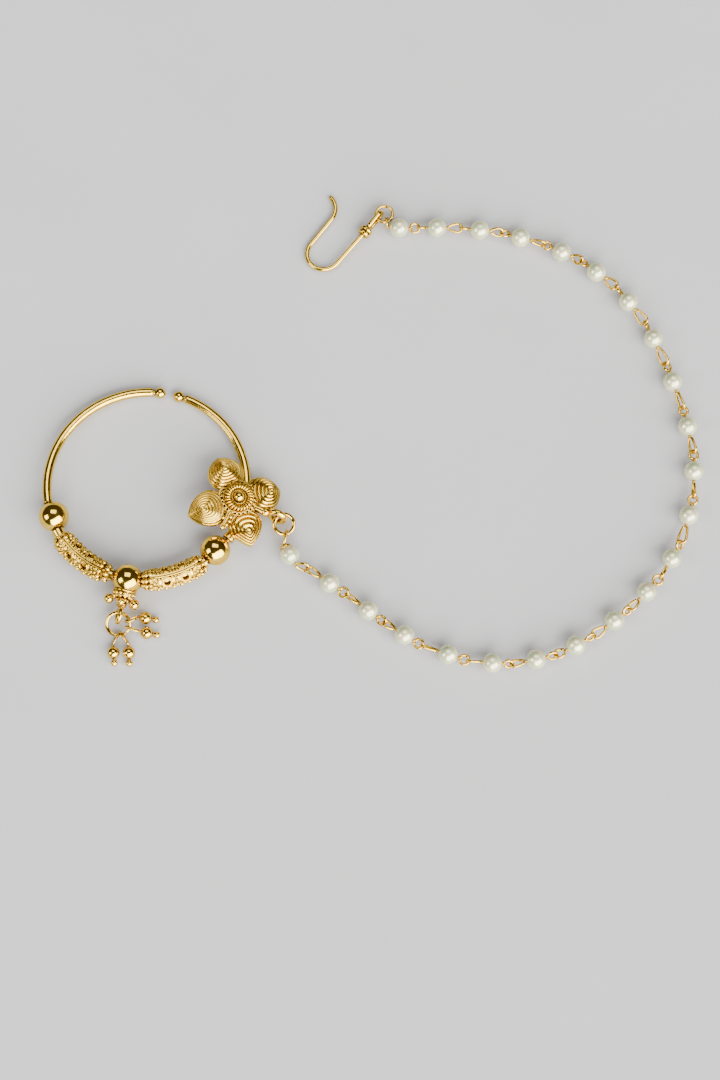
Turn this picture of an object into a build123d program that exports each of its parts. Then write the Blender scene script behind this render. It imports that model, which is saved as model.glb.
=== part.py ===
from build123d import *
import os
from math import asin, cos, radians, sin

os.makedirs("parts", exist_ok=True)

# A nath: a nose ring threaded with beads and a flower, and a chain of pearls that ends in a hair hook.
# Millimetres, +Z up. The whole thing lies on the floor, z = 0. Until it is written, every place is given
# from the middle of the hoop: +X runs from the hoop to the chain, +Y from the drops to the gap in the hoop.

# ---- hoop ----
HOOP_RADIUS = 20.0
CORE_WIRE = 1.0
SLEEVE_OUTER = 1.8
SLEEVE_INNER = 1.24
TIP_BALL = 2.3
LEFT_TIP_ANGLE = 84.0
RIGHT_TIP_ANGLE = 72.8
LEFT_SLEEVE = (88.2, 191.2)
RIGHT_SLEEVE = (-2.4, 68.6)

# ---- beads on the hoop ----
BALL = 6.0
BALL_WALL = 0.4
BALL_BORE = 2.3
BALL_ANGLES = {"left": 200.0, "centre": 260.8, "right": 315.7}
BALL_INSET = {"left": 0.5, "centre": 0.0, "right": 0.5}

# ---- pierced bead ----
BODY_OUTER = 3.7
BODY_WALL = 0.45
BODY_SPAN = 28.0
END_WALL_SPAN = 1.4
HOLE_ROWS = 4
HOLE = 1.3
HOLE_STEP = 10.2
HOLE_FRAME = 2.1
FRAME_RISE = 0.15
RIDGE_WIRE = 0.34
RIDGE_SPREAD = 6.0
SIDE_GRANULE_STEP = 5.1
SIDE_GRANULES = (0.6, 0.72, 0.6)
COLLAR = 2.5
COLLAR_BORE = 1.3

# Where each pierced bead sits on the hoop, and how far its collars reach past its body.
PIERCED = {
    # angle, collar before, collar after
    "left": (230.6, 7.6, 7.2),
    "right": (288.0, 4.2, 4.7),
}

# Rings of granules at the ends of each pierced bead: hoop angle from the bead's middle, the ring's
# radius about the wire, how many granules, and their diameter.
GRANULE_RINGS = {
    "left": [(-14.0, 1.85, 8, 0.85), (14.0, 1.85, 8, 0.85), (17.8, 1.45, 8, 1.1)],
    "right": [(-14.0, 1.85, 8, 0.85), (-16.6, 1.45, 8, 1.1), (14.0, 1.85, 8, 0.85)],
}

# ---- flower ----
# Heights are counted from the flower's own flat disc. The back plate and the rim are flat rounds: radius,
# underside, top.
FLOWER_ANGLE = -11.6
FLOWER_ROLL = 12.0
FLOWER_INSET = 1.75
FLOWER_LIFT = 1.75
FLOWER_BAIL_HEADING = 338.0
FLOWER_BAIL_DIP = 6.0
FLOWER_BAIL_DROP = 0.3
FLOWER_BAIL_REACH = 7.1
FLOWER_BAIL_RADIUS = 1.45
FLOWER_BAIL_WIRE = 1.15
FLOWER_BAIL_ROLL = 70.0
FLOWER_GRANULE_REACH = 6.4
FLOWER_GRANULE = 1.3
FLOWER_STALK_REACH = 3.6
FLOWER_STALK = 1.0
PETAL_DROOP = 10.0
PETAL_ROOT = 2.2
PETAL_FOCUS = 6.4
PETAL_SHOULDER = 1.18
PETAL_FLANK = 1.22
PETAL_FLANK_PLACE = 0.6
PETAL_BASE = 0.5
TERRACE_RISE = 0.42
TERRACE_SCALES = (1.0, 0.84, 0.67, 0.5, 0.33, 0.17)
FLOWER_BACK = (4.3, -0.3, 0.7)
FLOWER_RIM = (3.3, 0.3, 1.5)
SCALLOP_HEIGHT = 1.2
SCALLOP = 1.1
SCALLOPS = 16
COIL_TURNS = 28
COIL_RADIUS = 2.25
COIL_TURN_RADIUS = 0.56
COIL_WIRE = 0.3
COIL_HEIGHT = 1.5
SEAT_RADIUS = 1.4
SEAT_HEIGHT = 1.6
SEAT_WIRE = 0.36
FLOWER_BALL = 2.35
FLOWER_BALL_HEIGHT = 1.9
FLOWER_TUBE = 2.5
FLOWER_TUBE_REACH = 8.0
FLOWER_NECK_END = 19.5
CONE_START = 21.0
CONE_WIDE = 2.7
CONE_NARROW = 1.8
CONE_LENGTH = 1.9
SADDLE_INSET = 0.9
SADDLE_LENGTH = 3.2
SADDLE_WIDTH = 3.0

# The petals: heading of each petal seen from above, its reach from the flower's middle, its greatest width
PETALS = [
    # heading, reach, width
    (115.0, 9.6, 8.0),
    (201.0, 10.8, 8.4),
    (289.0, 10.1, 7.8),
    (14.0, 9.6, 8.4),
]

# ---- drops under the middle ball ----
CLUSTER_HEADING = 257.0
CLUSTER_DIP = 8.0
BAIL_ROOT = 5.7
BAIL_WIRE = 1.0
BAIL_WIDTH = 3.5
BAIL_LENGTH = 3.9
BAIL_ROLL = 72.0
RING_SLACK = 0.2
DROP_RING_TURN = 4.0
DROP_RING_CUT = 50.0
DROP_RING_RADIUS = 2.3
DROP_RING_WIRE = 0.7
DROP_RING_DIP = 22.0
DROP_BEAD = 2.5
DROP_HEAD = 1.4
DROP_WIRE = 0.36
DROP_EYE = 1.45
DROP_EYE_ROOT_RADIUS = 0.6
DROP_DIP = 8.0
DROP_ROOT_GAP = 0.35
DROP_HEAD_GAP = 0.1
DROP_BORE = 0.6
STEM_STEP = 0.03

# Stalk, cap and arms under the middle ball: out from the ball's middle and to its side, at both ends.
CLUSTER_RODS = [
    # out, side, end_out, end_side, diameter
    (2.2, 0.0, 3.3, 0.0, 4.2),
    (2.5, 0.0, BAIL_ROOT, 0.0, 1.3),
    (3.0, -0.8, 4.5, -2.5, 0.8),
    (3.0, 0.8, 4.5, 2.4, 0.8),
]

# How far the arms run out for each millimetre that they run to the side.
ARM_SLOPE = 0.88

# Granules under the middle ball: out from the ball's middle, to its side, above it, and the diameter.
CLUSTER_GRANULES = [
    # out, side, up, diameter
    (4.5, -2.75, 0.1, 2.0),
    (4.6, 2.4, 0.1, 2.15),
    (4.6, -0.1, 1.2, 1.6),
    (4.6, 0.1, -1.2, 1.6),
    (3.6, -1.8, 0.3, 1.0),
    (3.6, 1.6, 0.3, 1.0),
]

# The four drops: place of each drop's bead, the way its bead points, where its loop holds the ring,
# and the loop's roll.
DROPS = [
    # x, y, heading, ring_angle, roll
    (-5.9, -34.0, 314.0, 249.0, 15.0),
    (-2.8, -34.0, 272.0, 290.0, -10.0),
    (0.3, -27.0, 352.0, 18.0, -35.0),
    (0.6, -30.0, 350.0, 341.0, -20.0),
]

# ---- chain ----
PEARL = 4.0
PEARL_BORE = 0.64
PIN_WIRE = 0.42
LINK_GAP = 0.13
LINK_OVERLAP = PIN_WIRE + LINK_GAP
ROOT_GAP = 0.36
HELD_SLACK = 0.22
LOOP_WIDTH = 1.9
LOOP_ROOT_RADIUS = 0.5

# The line along which the chain lies, from the end of the first pin to the start of the last.
ROUTE = [
    (54.7, 55.6),
    (61.0, 55.6),
    (67.9, 55.2),
    (80.5, 52.0),
    (92.0, 45.6),
    (100.8, 35.0),
    (106.4, 21.3),
    (109.8, 7.0),
    (108.3, -7.1),
    (102.5, -18.5),
    (92.0, -28.4),
    (80.5, -34.9),
    (67.9, -36.4),
    (55.0, -32.8),
    (43.8, -25.3),
    (32.3, -17.0),
]

# The pins between: the length of each one's two loops, and how far each is rolled from lying flat.
PINS = [
    # near_length, near_roll, far_length, far_roll
    (1.75, 65.0, 3.0, 10.0),
    (1.8, 65.0, 2.6, 45.0),
    (1.9, 30.0, 3.2, 80.0),
    (1.75, 0.0, 2.5, 40.0),
    (1.8, 35.0, 3.1, 15.0),
    (2.0, 60.0, 3.6, 25.0),
    (1.75, 60.0, 3.9, 40.0),
    (2.0, 35.0, 3.9, 70.0),
    (1.9, 15.0, 3.5, 60.0),
    (2.0, 20.0, 3.4, 82.0),
    (1.9, 0.0, 3.9, 35.0),
    (1.75, 45.0, 2.6, 78.0),
    (2.0, 5.0, 2.9, 35.0),
    (1.8, 45.0, 3.1, 8.0),
    (2.0, 68.0, 2.4, 20.0),
    (2.0, 60.0, 2.9, 35.0),
    (1.8, 50.0, 2.8, 78.0),
    (2.0, 0.0, 3.5, 65.0),
    (1.9, 20.0, 2.7, 40.0),
    (1.9, 38.0, 3.4, 55.0),
    (2.0, 22.0, 3.3, 35.0),
]

# The first and the last pearl: their middles, the way their pins point, and the rolls of their loops.
FIRST_PEARL = (50.7, 55.6)
FIRST_HEADING = -4.0
FIRST_ROLLS = (80.0, 15.0)
LAST_PEARL = (28.7, -14.3)
LAST_HEADING = 120.0
LAST_ROLLS = (55.0, 98.0)

# ---- jump rings and hair hook ----
FLOWER_RING_RADIUS = 2.0
FLOWER_RING_WIRE = 0.8
HOOK_RING_RADIUS = 1.75
HOOK_RING_WIRE = 0.65
HOOK_RING_PLACE = (47.7, 58.75, 1.75)
HOOK_RING_HEADING = 285.0
HOOK_RING_ROLL = 7.0
FLOWER_RING_HEADING = 316.0
FLOWER_RING_DIP = 20.0
FLOWER_RING_HOLD = -35.0
RING_GAP_ANGLE = 10.0
HOOK_RING_CUT = 95.0
FLOWER_RING_CUT = -12.0
HOOK_WIRE = 0.95
HOOK_TIP = (36.65, 62.9)
HOOK_TIP_HEADING = -50.0
HOOK_TIP_RADIUS = 3.9
HOOK_TIP_TURN = -78.0
HOOK_STRAIGHT = 6.95
HOOK_BEND_RADIUS = 3.55
HOOK_BEND_TURN = 178.0
HOOK_SHANK = 10.1
HOOK_LEAN = 5.7
HOOK_REST = 0.09
WRAPS = (1.6, 0.65)
WRAP_RADIUS = 0.9
EYE_LENGTH = 4.2
EYE_HEIGHT = 1.9
SHORTEST_SIDES = 0.25
ROOT_SHARE = 0.8

UP = Vector(0, 0, 1)


# ---- helpers ----
def heading(angle, dip=0.0):
    """Unit vector that points along a compass angle in the floor plane, dipped below it."""
    flat = cos(radians(dip))
    return Vector(flat * cos(radians(angle)), flat * sin(radians(angle)), -sin(radians(dip)))


def rod(start, end, diameter):
    """Round straight wire between two points."""
    way = end - start
    return extrude(Plane(origin=start, z_dir=way) * Circle(diameter / 2), amount=way.length)


def ball_at(centre, diameter):
    return Pos(*centre) * Sphere(diameter / 2)


def drilled_ball(centre, way, diameter, bore):
    """Round bead with its bore along way."""
    bead = Sphere(diameter / 2) - Cylinder(bore / 2, diameter * 1.5)
    return Plane(origin=centre, z_dir=way).location * bead


def rolled_plane(origin, way, roll):
    """Plane whose x axis runs along way. At roll 0 it lies as flat as it can, at 90 it stands on edge."""
    ahead = way.normalized()
    upright = (UP - ahead * ahead.dot(UP)).normalized()
    side = ahead.cross(upright)
    normal = upright * cos(radians(roll)) + side * sin(radians(roll))
    return Plane(origin=origin, x_dir=ahead, z_dir=normal)


def wire_loop(root, tip, roll, wire, end_radius, root_radius):
    """Closed loop of round wire. Its wire's middle line runs from root to tip, round at both ends."""
    plane = rolled_plane(root, tip - root, roll)
    length = (tip - root).length
    if length < 2 * end_radius + SHORTEST_SIDES:
        return plane.location * (Pos(length / 2, 0, 0) * Torus(length / 2, wire / 2))
    slope = (end_radius - root_radius) / (length - end_radius - root_radius)
    lean_x = -slope
    lean_y = (1 - slope * slope) ** 0.5
    near = root_radius
    far = length - end_radius
    root_top = (near + root_radius * lean_x, root_radius * lean_y)
    root_low = (near + root_radius * lean_x, -root_radius * lean_y)
    end_top = (far + end_radius * lean_x, end_radius * lean_y)
    end_low = (far + end_radius * lean_x, -end_radius * lean_y)
    path = Wire(
        [
            Line(root_top, end_top),
            ThreePointArc(end_top, (length, 0), end_low),
            Line(end_low, root_low),
            ThreePointArc(root_low, (0, 0), root_top),
        ]
    )
    section = Plane(origin=path @ 0, z_dir=path % 0) * Circle(wire / 2)
    return plane.location * sweep(section, path=path)


def open_ring(plane, radius, wire, cut):
    """Jump ring whose cut ends face each other at the angle cut, counted from the plane's x axis."""
    section = Plane.XZ * Pos(radius, 0) * Circle(wire / 2)
    turn = 360 - RING_GAP_ANGLE
    ring = revolve(section, axis=Axis.Z, revolution_arc=turn)
    return plane.location * (Rot(0, 0, cut + RING_GAP_ANGLE / 2) * ring)


# ---- the hoop's own plane ----
# The hoop rests on the left and right balls and on its two tip balls, so it leans a little.
REST_HEADING = (BALL_ANGLES["left"] + BALL_ANGLES["right"]) / 2 - 180
REST_REACH = HOOP_RADIUS * cos(radians(BALL_ANGLES["right"] - 180 - REST_HEADING))
TIP_REACH = HOOP_RADIUS * cos(radians(LEFT_TIP_ANGLE - REST_HEADING))
BALL_REACH = abs(REST_REACH)
HOOP_LEAN = asin((BALL - TIP_BALL) / 2 / (BALL_REACH + TIP_REACH))
HOOP_HEIGHT = BALL / 2 - BALL_REACH * sin(HOOP_LEAN)
HOOP_NORMAL = heading(REST_HEADING) * sin(HOOP_LEAN) + UP * cos(HOOP_LEAN)
HOOP_PLANE = Plane(origin=(0, 0, HOOP_HEIGHT), x_dir=(1, 0, 0), z_dir=HOOP_NORMAL)


def on_hoop(shape):
    return HOOP_PLANE.location * shape


def hoop_bend(outer, inner, start, end, offset=0.0):
    """Stretch of round rod or tube bent along the hoop, from one angle to another."""
    section = Circle(outer / 2)
    if inner > 0:
        section -= Circle(inner / 2)
    placed = Plane.XZ * Pos(HOOP_RADIUS + offset, 0) * section
    bent = revolve(placed, axis=Axis.Z, revolution_arc=end - start)
    return Rot(0, 0, start) * bent


def hoop_frame(angle, inset=0.0):
    """Frame on the hoop's wire: x points outwards, y along the wire, z up."""
    return Rot(0, 0, angle) * Pos(HOOP_RADIUS - inset, 0, 0)


# ---- hoop pieces ----
def make_core():
    wire = hoop_bend(CORE_WIRE, 0, LEFT_TIP_ANGLE, 360 + RIGHT_TIP_ANGLE)
    for angle in (LEFT_TIP_ANGLE, RIGHT_TIP_ANGLE):
        wire += hoop_frame(angle) * Sphere(TIP_BALL / 2)
    return on_hoop(wire)


def make_sleeve(span):
    return on_hoop(hoop_bend(SLEEVE_OUTER, SLEEVE_INNER, *span))


def ball_frame(name):
    """Frame in the middle of a ball bead, z along the hoop's wire."""
    return HOOP_PLANE.location * hoop_frame(BALL_ANGLES[name], BALL_INSET[name]) * Rot(-90, 0, 0)


def hollowed(frame, outside):
    """A ball bead's outside with its hollow and its bore taken away."""
    hollow = Sphere(BALL / 2 - BALL_WALL) + Cylinder(BALL_BORE / 2, BALL + 1)
    return outside - frame * hollow


def make_ball(name):
    frame = ball_frame(name)
    return hollowed(frame, frame * Sphere(BALL / 2))


# ---- middle ball with its cluster of granules and its drop loop ----
BALL_CENTRE = ball_frame("centre").position
CLUSTER_WAY = heading(CLUSTER_HEADING, CLUSTER_DIP)
CLUSTER_PLANE = rolled_plane(BALL_CENTRE, CLUSTER_WAY, 0)
BAIL_TIP = BAIL_ROOT + BAIL_LENGTH - BAIL_WIRE


def cluster_point(out, side, up=0.0):
    return CLUSTER_PLANE.from_local_coords(Vector(out, side, up))


def cluster_granule(out, side, up, diameter):
    """Granule with its pole along its arm, so that the arm's outline on it goes round the pole."""
    centre = cluster_point(out, side, up)
    foot = cluster_point(out - ARM_SLOPE * abs(side), 0)
    return Plane(origin=centre, z_dir=centre - foot).location * Sphere(diameter / 2)


def make_centre_ball():
    frame = ball_frame("centre")
    pieces = []
    for out, side, end_out, end_side, diameter in CLUSTER_RODS:
        pieces.append(rod(cluster_point(out, side), cluster_point(end_out, end_side), diameter))
    pieces += [cluster_granule(*row) for row in CLUSTER_GRANULES]
    radius = (BAIL_WIDTH - BAIL_WIRE) / 2
    root, tip = cluster_point(BAIL_ROOT, 0), cluster_point(BAIL_TIP, 0)
    pieces.append(wire_loop(root, tip, BAIL_ROLL, BAIL_WIRE, radius, radius * ROOT_SHARE))
    return hollowed(frame, frame * Sphere(BALL / 2) + pieces)


# ---- drop ring and drops ----
RING_HOLD = cluster_point(BAIL_ROOT + (BAIL_WIRE + DROP_RING_WIRE) / 2 + RING_SLACK, 0)
RING_WAY = heading(CLUSTER_HEADING + DROP_RING_TURN, DROP_RING_DIP)
DROP_RING_CENTRE = RING_HOLD + RING_WAY * DROP_RING_RADIUS
DROP_RING_PLANE = rolled_plane(DROP_RING_CENTRE, RING_WAY, 0)


def drop_ring_point(angle):
    """Point on the ring's wire at an angle, counted from +X seen from above."""
    turn = radians(angle - CLUSTER_HEADING - DROP_RING_TURN)
    return DROP_RING_PLANE.from_local_coords(Vector(cos(turn), sin(turn), 0) * DROP_RING_RADIUS)


def make_drop_ring():
    return open_ring(DROP_RING_PLANE, DROP_RING_RADIUS, DROP_RING_WIRE, DROP_RING_CUT)


def drop_points(x, y, angle, ring_angle, roll):
    """Root, tip and roll of a drop's eye, middle and way of its bead, and middle of its head."""
    centre = Vector(x, y, DROP_BEAD / 2)
    way = heading(angle, DROP_DIP)
    root = centre - way * (DROP_BEAD / 2 + DROP_ROOT_GAP)
    hold = drop_ring_point(ring_angle)
    pull = (hold - root).normalized()
    tip = hold + pull * ((DROP_RING_WIRE + DROP_WIRE) / 2 + HELD_SLACK)
    head = centre + way * (DROP_BEAD / 2 + DROP_HEAD / 2 + DROP_HEAD_GAP)
    return root, tip, 90.0 + roll, centre, way, head


def make_drop(row):
    """Pin and bead of one drop: an eye round the drop ring, a bead, and a ball head."""
    root, tip, roll, centre, way, head = drop_points(*row)
    pin = wire_loop(root, tip, roll, DROP_WIRE, DROP_EYE / 2, DROP_EYE_ROOT_RADIUS)
    pin += [rod(root, head, DROP_WIRE - STEM_STEP), ball_at(head, DROP_HEAD)]
    return pin, drilled_ball(centre, way, DROP_BEAD, DROP_BORE)


# ---- pierced bead, made at hoop angle 0 ----
def bead_frame(turn, around, radius=BODY_OUTER / 2):
    """Frame beside the wire: at a turn along the hoop and an angle around the wire, z outwards."""
    return hoop_frame(turn) * Rot(0, around, 0) * Pos(0, 0, radius)


def end_granule(turn, around, radius, diameter):
    """Granule in the corner between body and collar. Its pole points out of that corner."""
    way = 1 if turn > 0 else -1
    corner = Plane(origin=(0, 0, 0), x_dir=(0, way, -1), z_dir=(0, way, 1))
    return bead_frame(turn, around, radius) * corner.location * Sphere(diameter / 2)


def make_ridge(around):
    """Straight raised wire along the bead's body."""
    reach = (BODY_OUTER + RIDGE_WIRE / 2) / 2
    place = Pos(HOOP_RADIUS + reach * sin(radians(around)), reach * cos(radians(around)))
    ridge = revolve(Plane.XZ * place * Circle(RIDGE_WIRE / 2), Axis.Z, BODY_SPAN)
    return Rot(0, 0, -BODY_SPAN / 2) * ridge


def make_pierced_bead(name):
    angle, before, after = PIERCED[name]
    half = BODY_SPAN / 2
    hollow = BODY_OUTER - 2 * BODY_WALL
    body = hoop_bend(BODY_OUTER, 0, -half, half)
    raised = [hoop_bend(COLLAR, 0, -half - before, half + after)]
    taken = [hoop_bend(COLLAR_BORE, 0, -half - 2 * before, half + 2 * after)]
    taken.append(hoop_bend(hollow, 0, END_WALL_SPAN - half, half - END_WALL_SPAN))
    quarter = 360 / HOLE_ROWS
    for row in range(HOLE_ROWS):
        around = quarter * (row + 0.5)
        for side in (-1, 1):
            frame = bead_frame(side * HOLE_STEP / 2, around)
            raised.append(frame * Cylinder(HOLE_FRAME / 2, 2 * FRAME_RISE))
            taken.append(frame * Cylinder(HOLE / 2, 4 * BODY_WALL))
        for place, diameter in zip((-2, 0, 2), SIDE_GRANULES):
            raised.append(bead_frame(place * SIDE_GRANULE_STEP, around) * Sphere(diameter / 2))
        for shift in (-RIDGE_SPREAD, RIDGE_SPREAD):
            raised.append(make_ridge(quarter * row + shift))
    for turn, radius, count, diameter in GRANULE_RINGS[name]:
        for place in range(count):
            raised.append(end_granule(turn, 360 / count * (place + 0.5), radius, diameter))
    return on_hoop(Rot(0, 0, angle) * (body + raised - taken))


# ---- flower ----
FLOWER_FRAME = HOOP_PLANE.location * hoop_frame(FLOWER_ANGLE) * Rot(0, FLOWER_ROLL, 0)
FLOWER_DISC = FLOWER_FRAME * Pos(-FLOWER_INSET, 0, FLOWER_LIFT)


def petal_outline(reach, width, scale):
    """Pointed spade, round at its root, drawn about the petal's focus."""
    length = reach - PETAL_ROOT
    focus = PETAL_FOCUS - PETAL_ROOT
    half = width / 2

    def point(x, y):
        return (PETAL_FOCUS + (x - focus) * scale, y * scale)

    root, tip = point(0, 0), point(length, 0)
    flank = PETAL_FLANK_PLACE * length
    edges = []
    for side in (-half, half):
        edges.append(Bezier(root, point(0, side * PETAL_SHOULDER), point(flank, side * PETAL_FLANK), tip))
    return make_face(edges)


def make_petal(angle, reach, width):
    layers = []
    for step, scale in enumerate(TERRACE_SCALES):
        height = PETAL_BASE + TERRACE_RISE * step
        layers.append(extrude(petal_outline(reach, width, scale), amount=height))
    return Rot(0, 0, angle - FLOWER_ANGLE) * Rot(0, PETAL_DROOP, 0) * (layers[0] + layers[1:])


def flat_round(radius, underside, top):
    return Pos(0, 0, (underside + top) / 2) * Cylinder(radius, top - underside)


def make_flower_head():
    """Petals, scalloped rim, coil and middle ball, on the flower's own flat disc."""
    pieces = [make_petal(*petal) for petal in PETALS]
    pieces.append(flat_round(*FLOWER_RIM))
    for place in PolarLocations(FLOWER_RIM[0], SCALLOPS):
        pieces.append(place * (Pos(0, 0, SCALLOP_HEIGHT) * Sphere(SCALLOP / 2)))
    for place in PolarLocations(COIL_RADIUS, COIL_TURNS):
        turn = Torus(COIL_TURN_RADIUS, COIL_WIRE / 2)
        pieces.append(place * (Pos(0, 0, COIL_HEIGHT) * Rot(90, 0, 0) * turn))
    pieces.append(Pos(0, 0, SEAT_HEIGHT) * Torus(SEAT_RADIUS, SEAT_WIRE / 2))
    pieces.append(Pos(0, 0, FLOWER_BALL_HEIGHT) * Sphere(FLOWER_BALL / 2))
    return flat_round(*FLOWER_BACK) + pieces


def make_flower():
    head = FLOWER_DISC * make_flower_head()
    reach = FLOWER_TUBE_REACH
    end = FLOWER_ANGLE - FLOWER_NECK_END
    tube = on_hoop(hoop_bend(FLOWER_TUBE, 0, FLOWER_ANGLE - reach, FLOWER_ANGLE + reach))
    neck = on_hoop(hoop_bend(SLEEVE_OUTER, 0, end, FLOWER_ANGLE))
    bore = on_hoop(hoop_bend(SLEEVE_INNER, 0, FLOWER_ANGLE - 1.5 * CONE_START, FLOWER_ANGLE + 1.5 * reach))
    start = on_hoop(hoop_frame(FLOWER_ANGLE - CONE_START)).position
    cone_way = on_hoop(hoop_frame(FLOWER_ANGLE - CONE_START + 1)).position - start
    cone = Cone(CONE_WIDE / 2, CONE_NARROW / 2, CONE_LENGTH)
    cone = Plane(origin=start, z_dir=cone_way).location * cone
    saddle = Box(SADDLE_LENGTH, SADDLE_WIDTH, FLOWER_LIFT)
    saddle = FLOWER_FRAME * Pos(-SADDLE_INSET, 0, FLOWER_LIFT / 2) * saddle
    stalk, granule, root, tip = flower_bail_points()
    radius = FLOWER_BAIL_RADIUS
    seat = Plane(origin=granule, z_dir=granule - stalk)
    bail = [rod(stalk, granule, FLOWER_STALK), seat.location * Sphere(FLOWER_GRANULE / 2)]
    bail.append(wire_loop(root, tip, FLOWER_BAIL_ROLL, FLOWER_BAIL_WIRE, radius, radius))
    return head + [tube, neck, cone, saddle] + bail - bore


# ---- jump rings ----
def flower_bail_points():
    """Stalk, granule, root and tip of the loop that is soldered to the flower."""
    middle = FLOWER_DISC.position - UP * FLOWER_BAIL_DROP
    way = heading(FLOWER_BAIL_HEADING, FLOWER_BAIL_DIP)
    root = middle + way * FLOWER_BAIL_REACH
    stalk = middle + way * FLOWER_STALK_REACH
    granule = middle + way * FLOWER_GRANULE_REACH
    return stalk, granule, root, root + way * 2 * FLOWER_BAIL_RADIUS


def ring_plane(hold, angle, dip, radius, roll):
    """Plane of a ring whose wire passes through hold and whose far side lies along the heading."""
    way = heading(angle, dip)
    return rolled_plane(hold + way * radius, way, roll)


FLOWER_BAIL_ROOT, FLOWER_BAIL_TIP = flower_bail_points()[2:]
FLOWER_HOLD = (FLOWER_BAIL_ROOT + FLOWER_BAIL_TIP) / 2
FLOWER_RING_PLANE = ring_plane(FLOWER_HOLD, FLOWER_RING_HEADING, FLOWER_RING_DIP, FLOWER_RING_RADIUS, 0)
HOOK_RING_PLANE = rolled_plane(Vector(*HOOK_RING_PLACE), heading(HOOK_RING_HEADING), HOOK_RING_ROLL)


# ---- chain ----
def chain_joints():
    """Places where each pin's loop holds the next, spaced along the route as the pins are long."""
    route = Spline(*[(x, y, PEARL / 2) for x, y in ROUTE])
    lengths = []
    for near_length, near_roll, far_length, far_roll in PINS:
        lengths.append(PEARL + 2 * ROOT_GAP + near_length + far_length - LINK_OVERLAP)
    stretch = route.length / sum(lengths)
    joints = [route @ 0]
    done = 0.0
    for length in lengths:
        done += length * stretch
        joints.append(route.position_at(done, position_mode=PositionMode.LENGTH))
    return joints


def make_pin(centre, way, near, far):
    """One pearl and its wire pin. near and far give what each loop holds: place, reach past it, roll."""
    root_reach = PEARL / 2 + ROOT_GAP
    near_root = centre - way * root_reach
    far_root = centre + way * root_reach
    pin = rod(near_root, far_root, PIN_WIRE - STEM_STEP)
    for root, (hold, reach, roll) in ((near_root, near), (far_root, far)):
        tip = hold + (hold - root).normalized() * reach
        pin += wire_loop(root, tip, roll, PIN_WIRE, LOOP_WIDTH / 2, LOOP_ROOT_RADIUS)
    return pin, drilled_ball(centre, way, PEARL, PEARL_BORE)


def make_chain():
    joints = chain_joints()
    reach = LINK_OVERLAP / 2
    hook_hold = HOOK_RING_PLANE.from_local_coords(Vector(HOOK_RING_RADIUS, 0, 0))
    hook_reach = (HOOK_RING_WIRE + PIN_WIRE) / 2 + HELD_SLACK
    flower_hold = FLOWER_RING_PLANE.from_local_coords(heading(FLOWER_RING_HOLD) * FLOWER_RING_RADIUS)
    flower_reach = (FLOWER_RING_WIRE + PIN_WIRE) / 2 + HELD_SLACK
    first = Vector(*FIRST_PEARL, PEARL / 2)
    near = (hook_hold, hook_reach, FIRST_ROLLS[0])
    far = (joints[0], reach, FIRST_ROLLS[1])
    links = [make_pin(first, heading(FIRST_HEADING), near, far)]
    for row, start, end in zip(PINS, joints, joints[1:]):
        near_length, near_roll, far_length, far_roll = row
        way = (end - start).normalized()
        centre = start + way * (near_length - reach + ROOT_GAP + PEARL / 2)
        links.append(make_pin(centre, way, (start, reach, near_roll), (end, reach, far_roll)))
    last = Vector(*LAST_PEARL, PEARL / 2)
    near = (joints[-1], reach, LAST_ROLLS[0])
    far = (flower_hold, flower_reach, LAST_ROLLS[1])
    links.append(make_pin(last, heading(LAST_HEADING), near, far))
    return links


# ---- hair hook ----
def hook_path():
    """The hook's wire from its tip to the root of its eye, flat."""
    tangent = heading(HOOK_TIP_HEADING)
    tip_arc = JernArc(HOOK_TIP, (tangent.X, tangent.Y), HOOK_TIP_RADIUS, HOOK_TIP_TURN)
    straight = Line(tip_arc @ 1, tip_arc @ 1 + (tip_arc % 1) * HOOK_STRAIGHT)
    bend = JernArc(straight @ 1, straight % 1, HOOK_BEND_RADIUS, HOOK_BEND_TURN)
    shank = Line(bend @ 1, bend @ 1 + (bend % 1) * HOOK_SHANK)
    return Wire([tip_arc, straight, bend, shank]), bend @ HOOK_REST


def lean_hook(shape, rest):
    """Raise the eye's side of the hook about the line that joins its tip to the outside of its bend."""
    tip = Vector(*HOOK_TIP)
    return Pos(0, 0, HOOK_WIRE / 2) * shape.rotate(Axis(origin=tip, direction=rest - tip), HOOK_LEAN)


def make_hook():
    path, rest = hook_path()
    end = path @ 1
    way = path % 1
    wire = sweep(Plane(origin=path @ 0, z_dir=path % 0) * Circle(HOOK_WIRE / 2), path=path)
    pieces = [ball_at(path @ 0, HOOK_WIRE)]
    for back in WRAPS:
        turn = Torus(WRAP_RADIUS, HOOK_WIRE / 2 - STEM_STEP)
        pieces.append(Plane(origin=end - way * back, z_dir=way).location * turn)
    radius = EYE_HEIGHT / 2
    tip = end + way * EYE_LENGTH
    pieces.append(wire_loop(end, tip, 90.0, HOOK_WIRE - STEM_STEP, radius, radius * ROOT_SHARE))
    return lean_hook(wire + pieces, rest)


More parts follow.
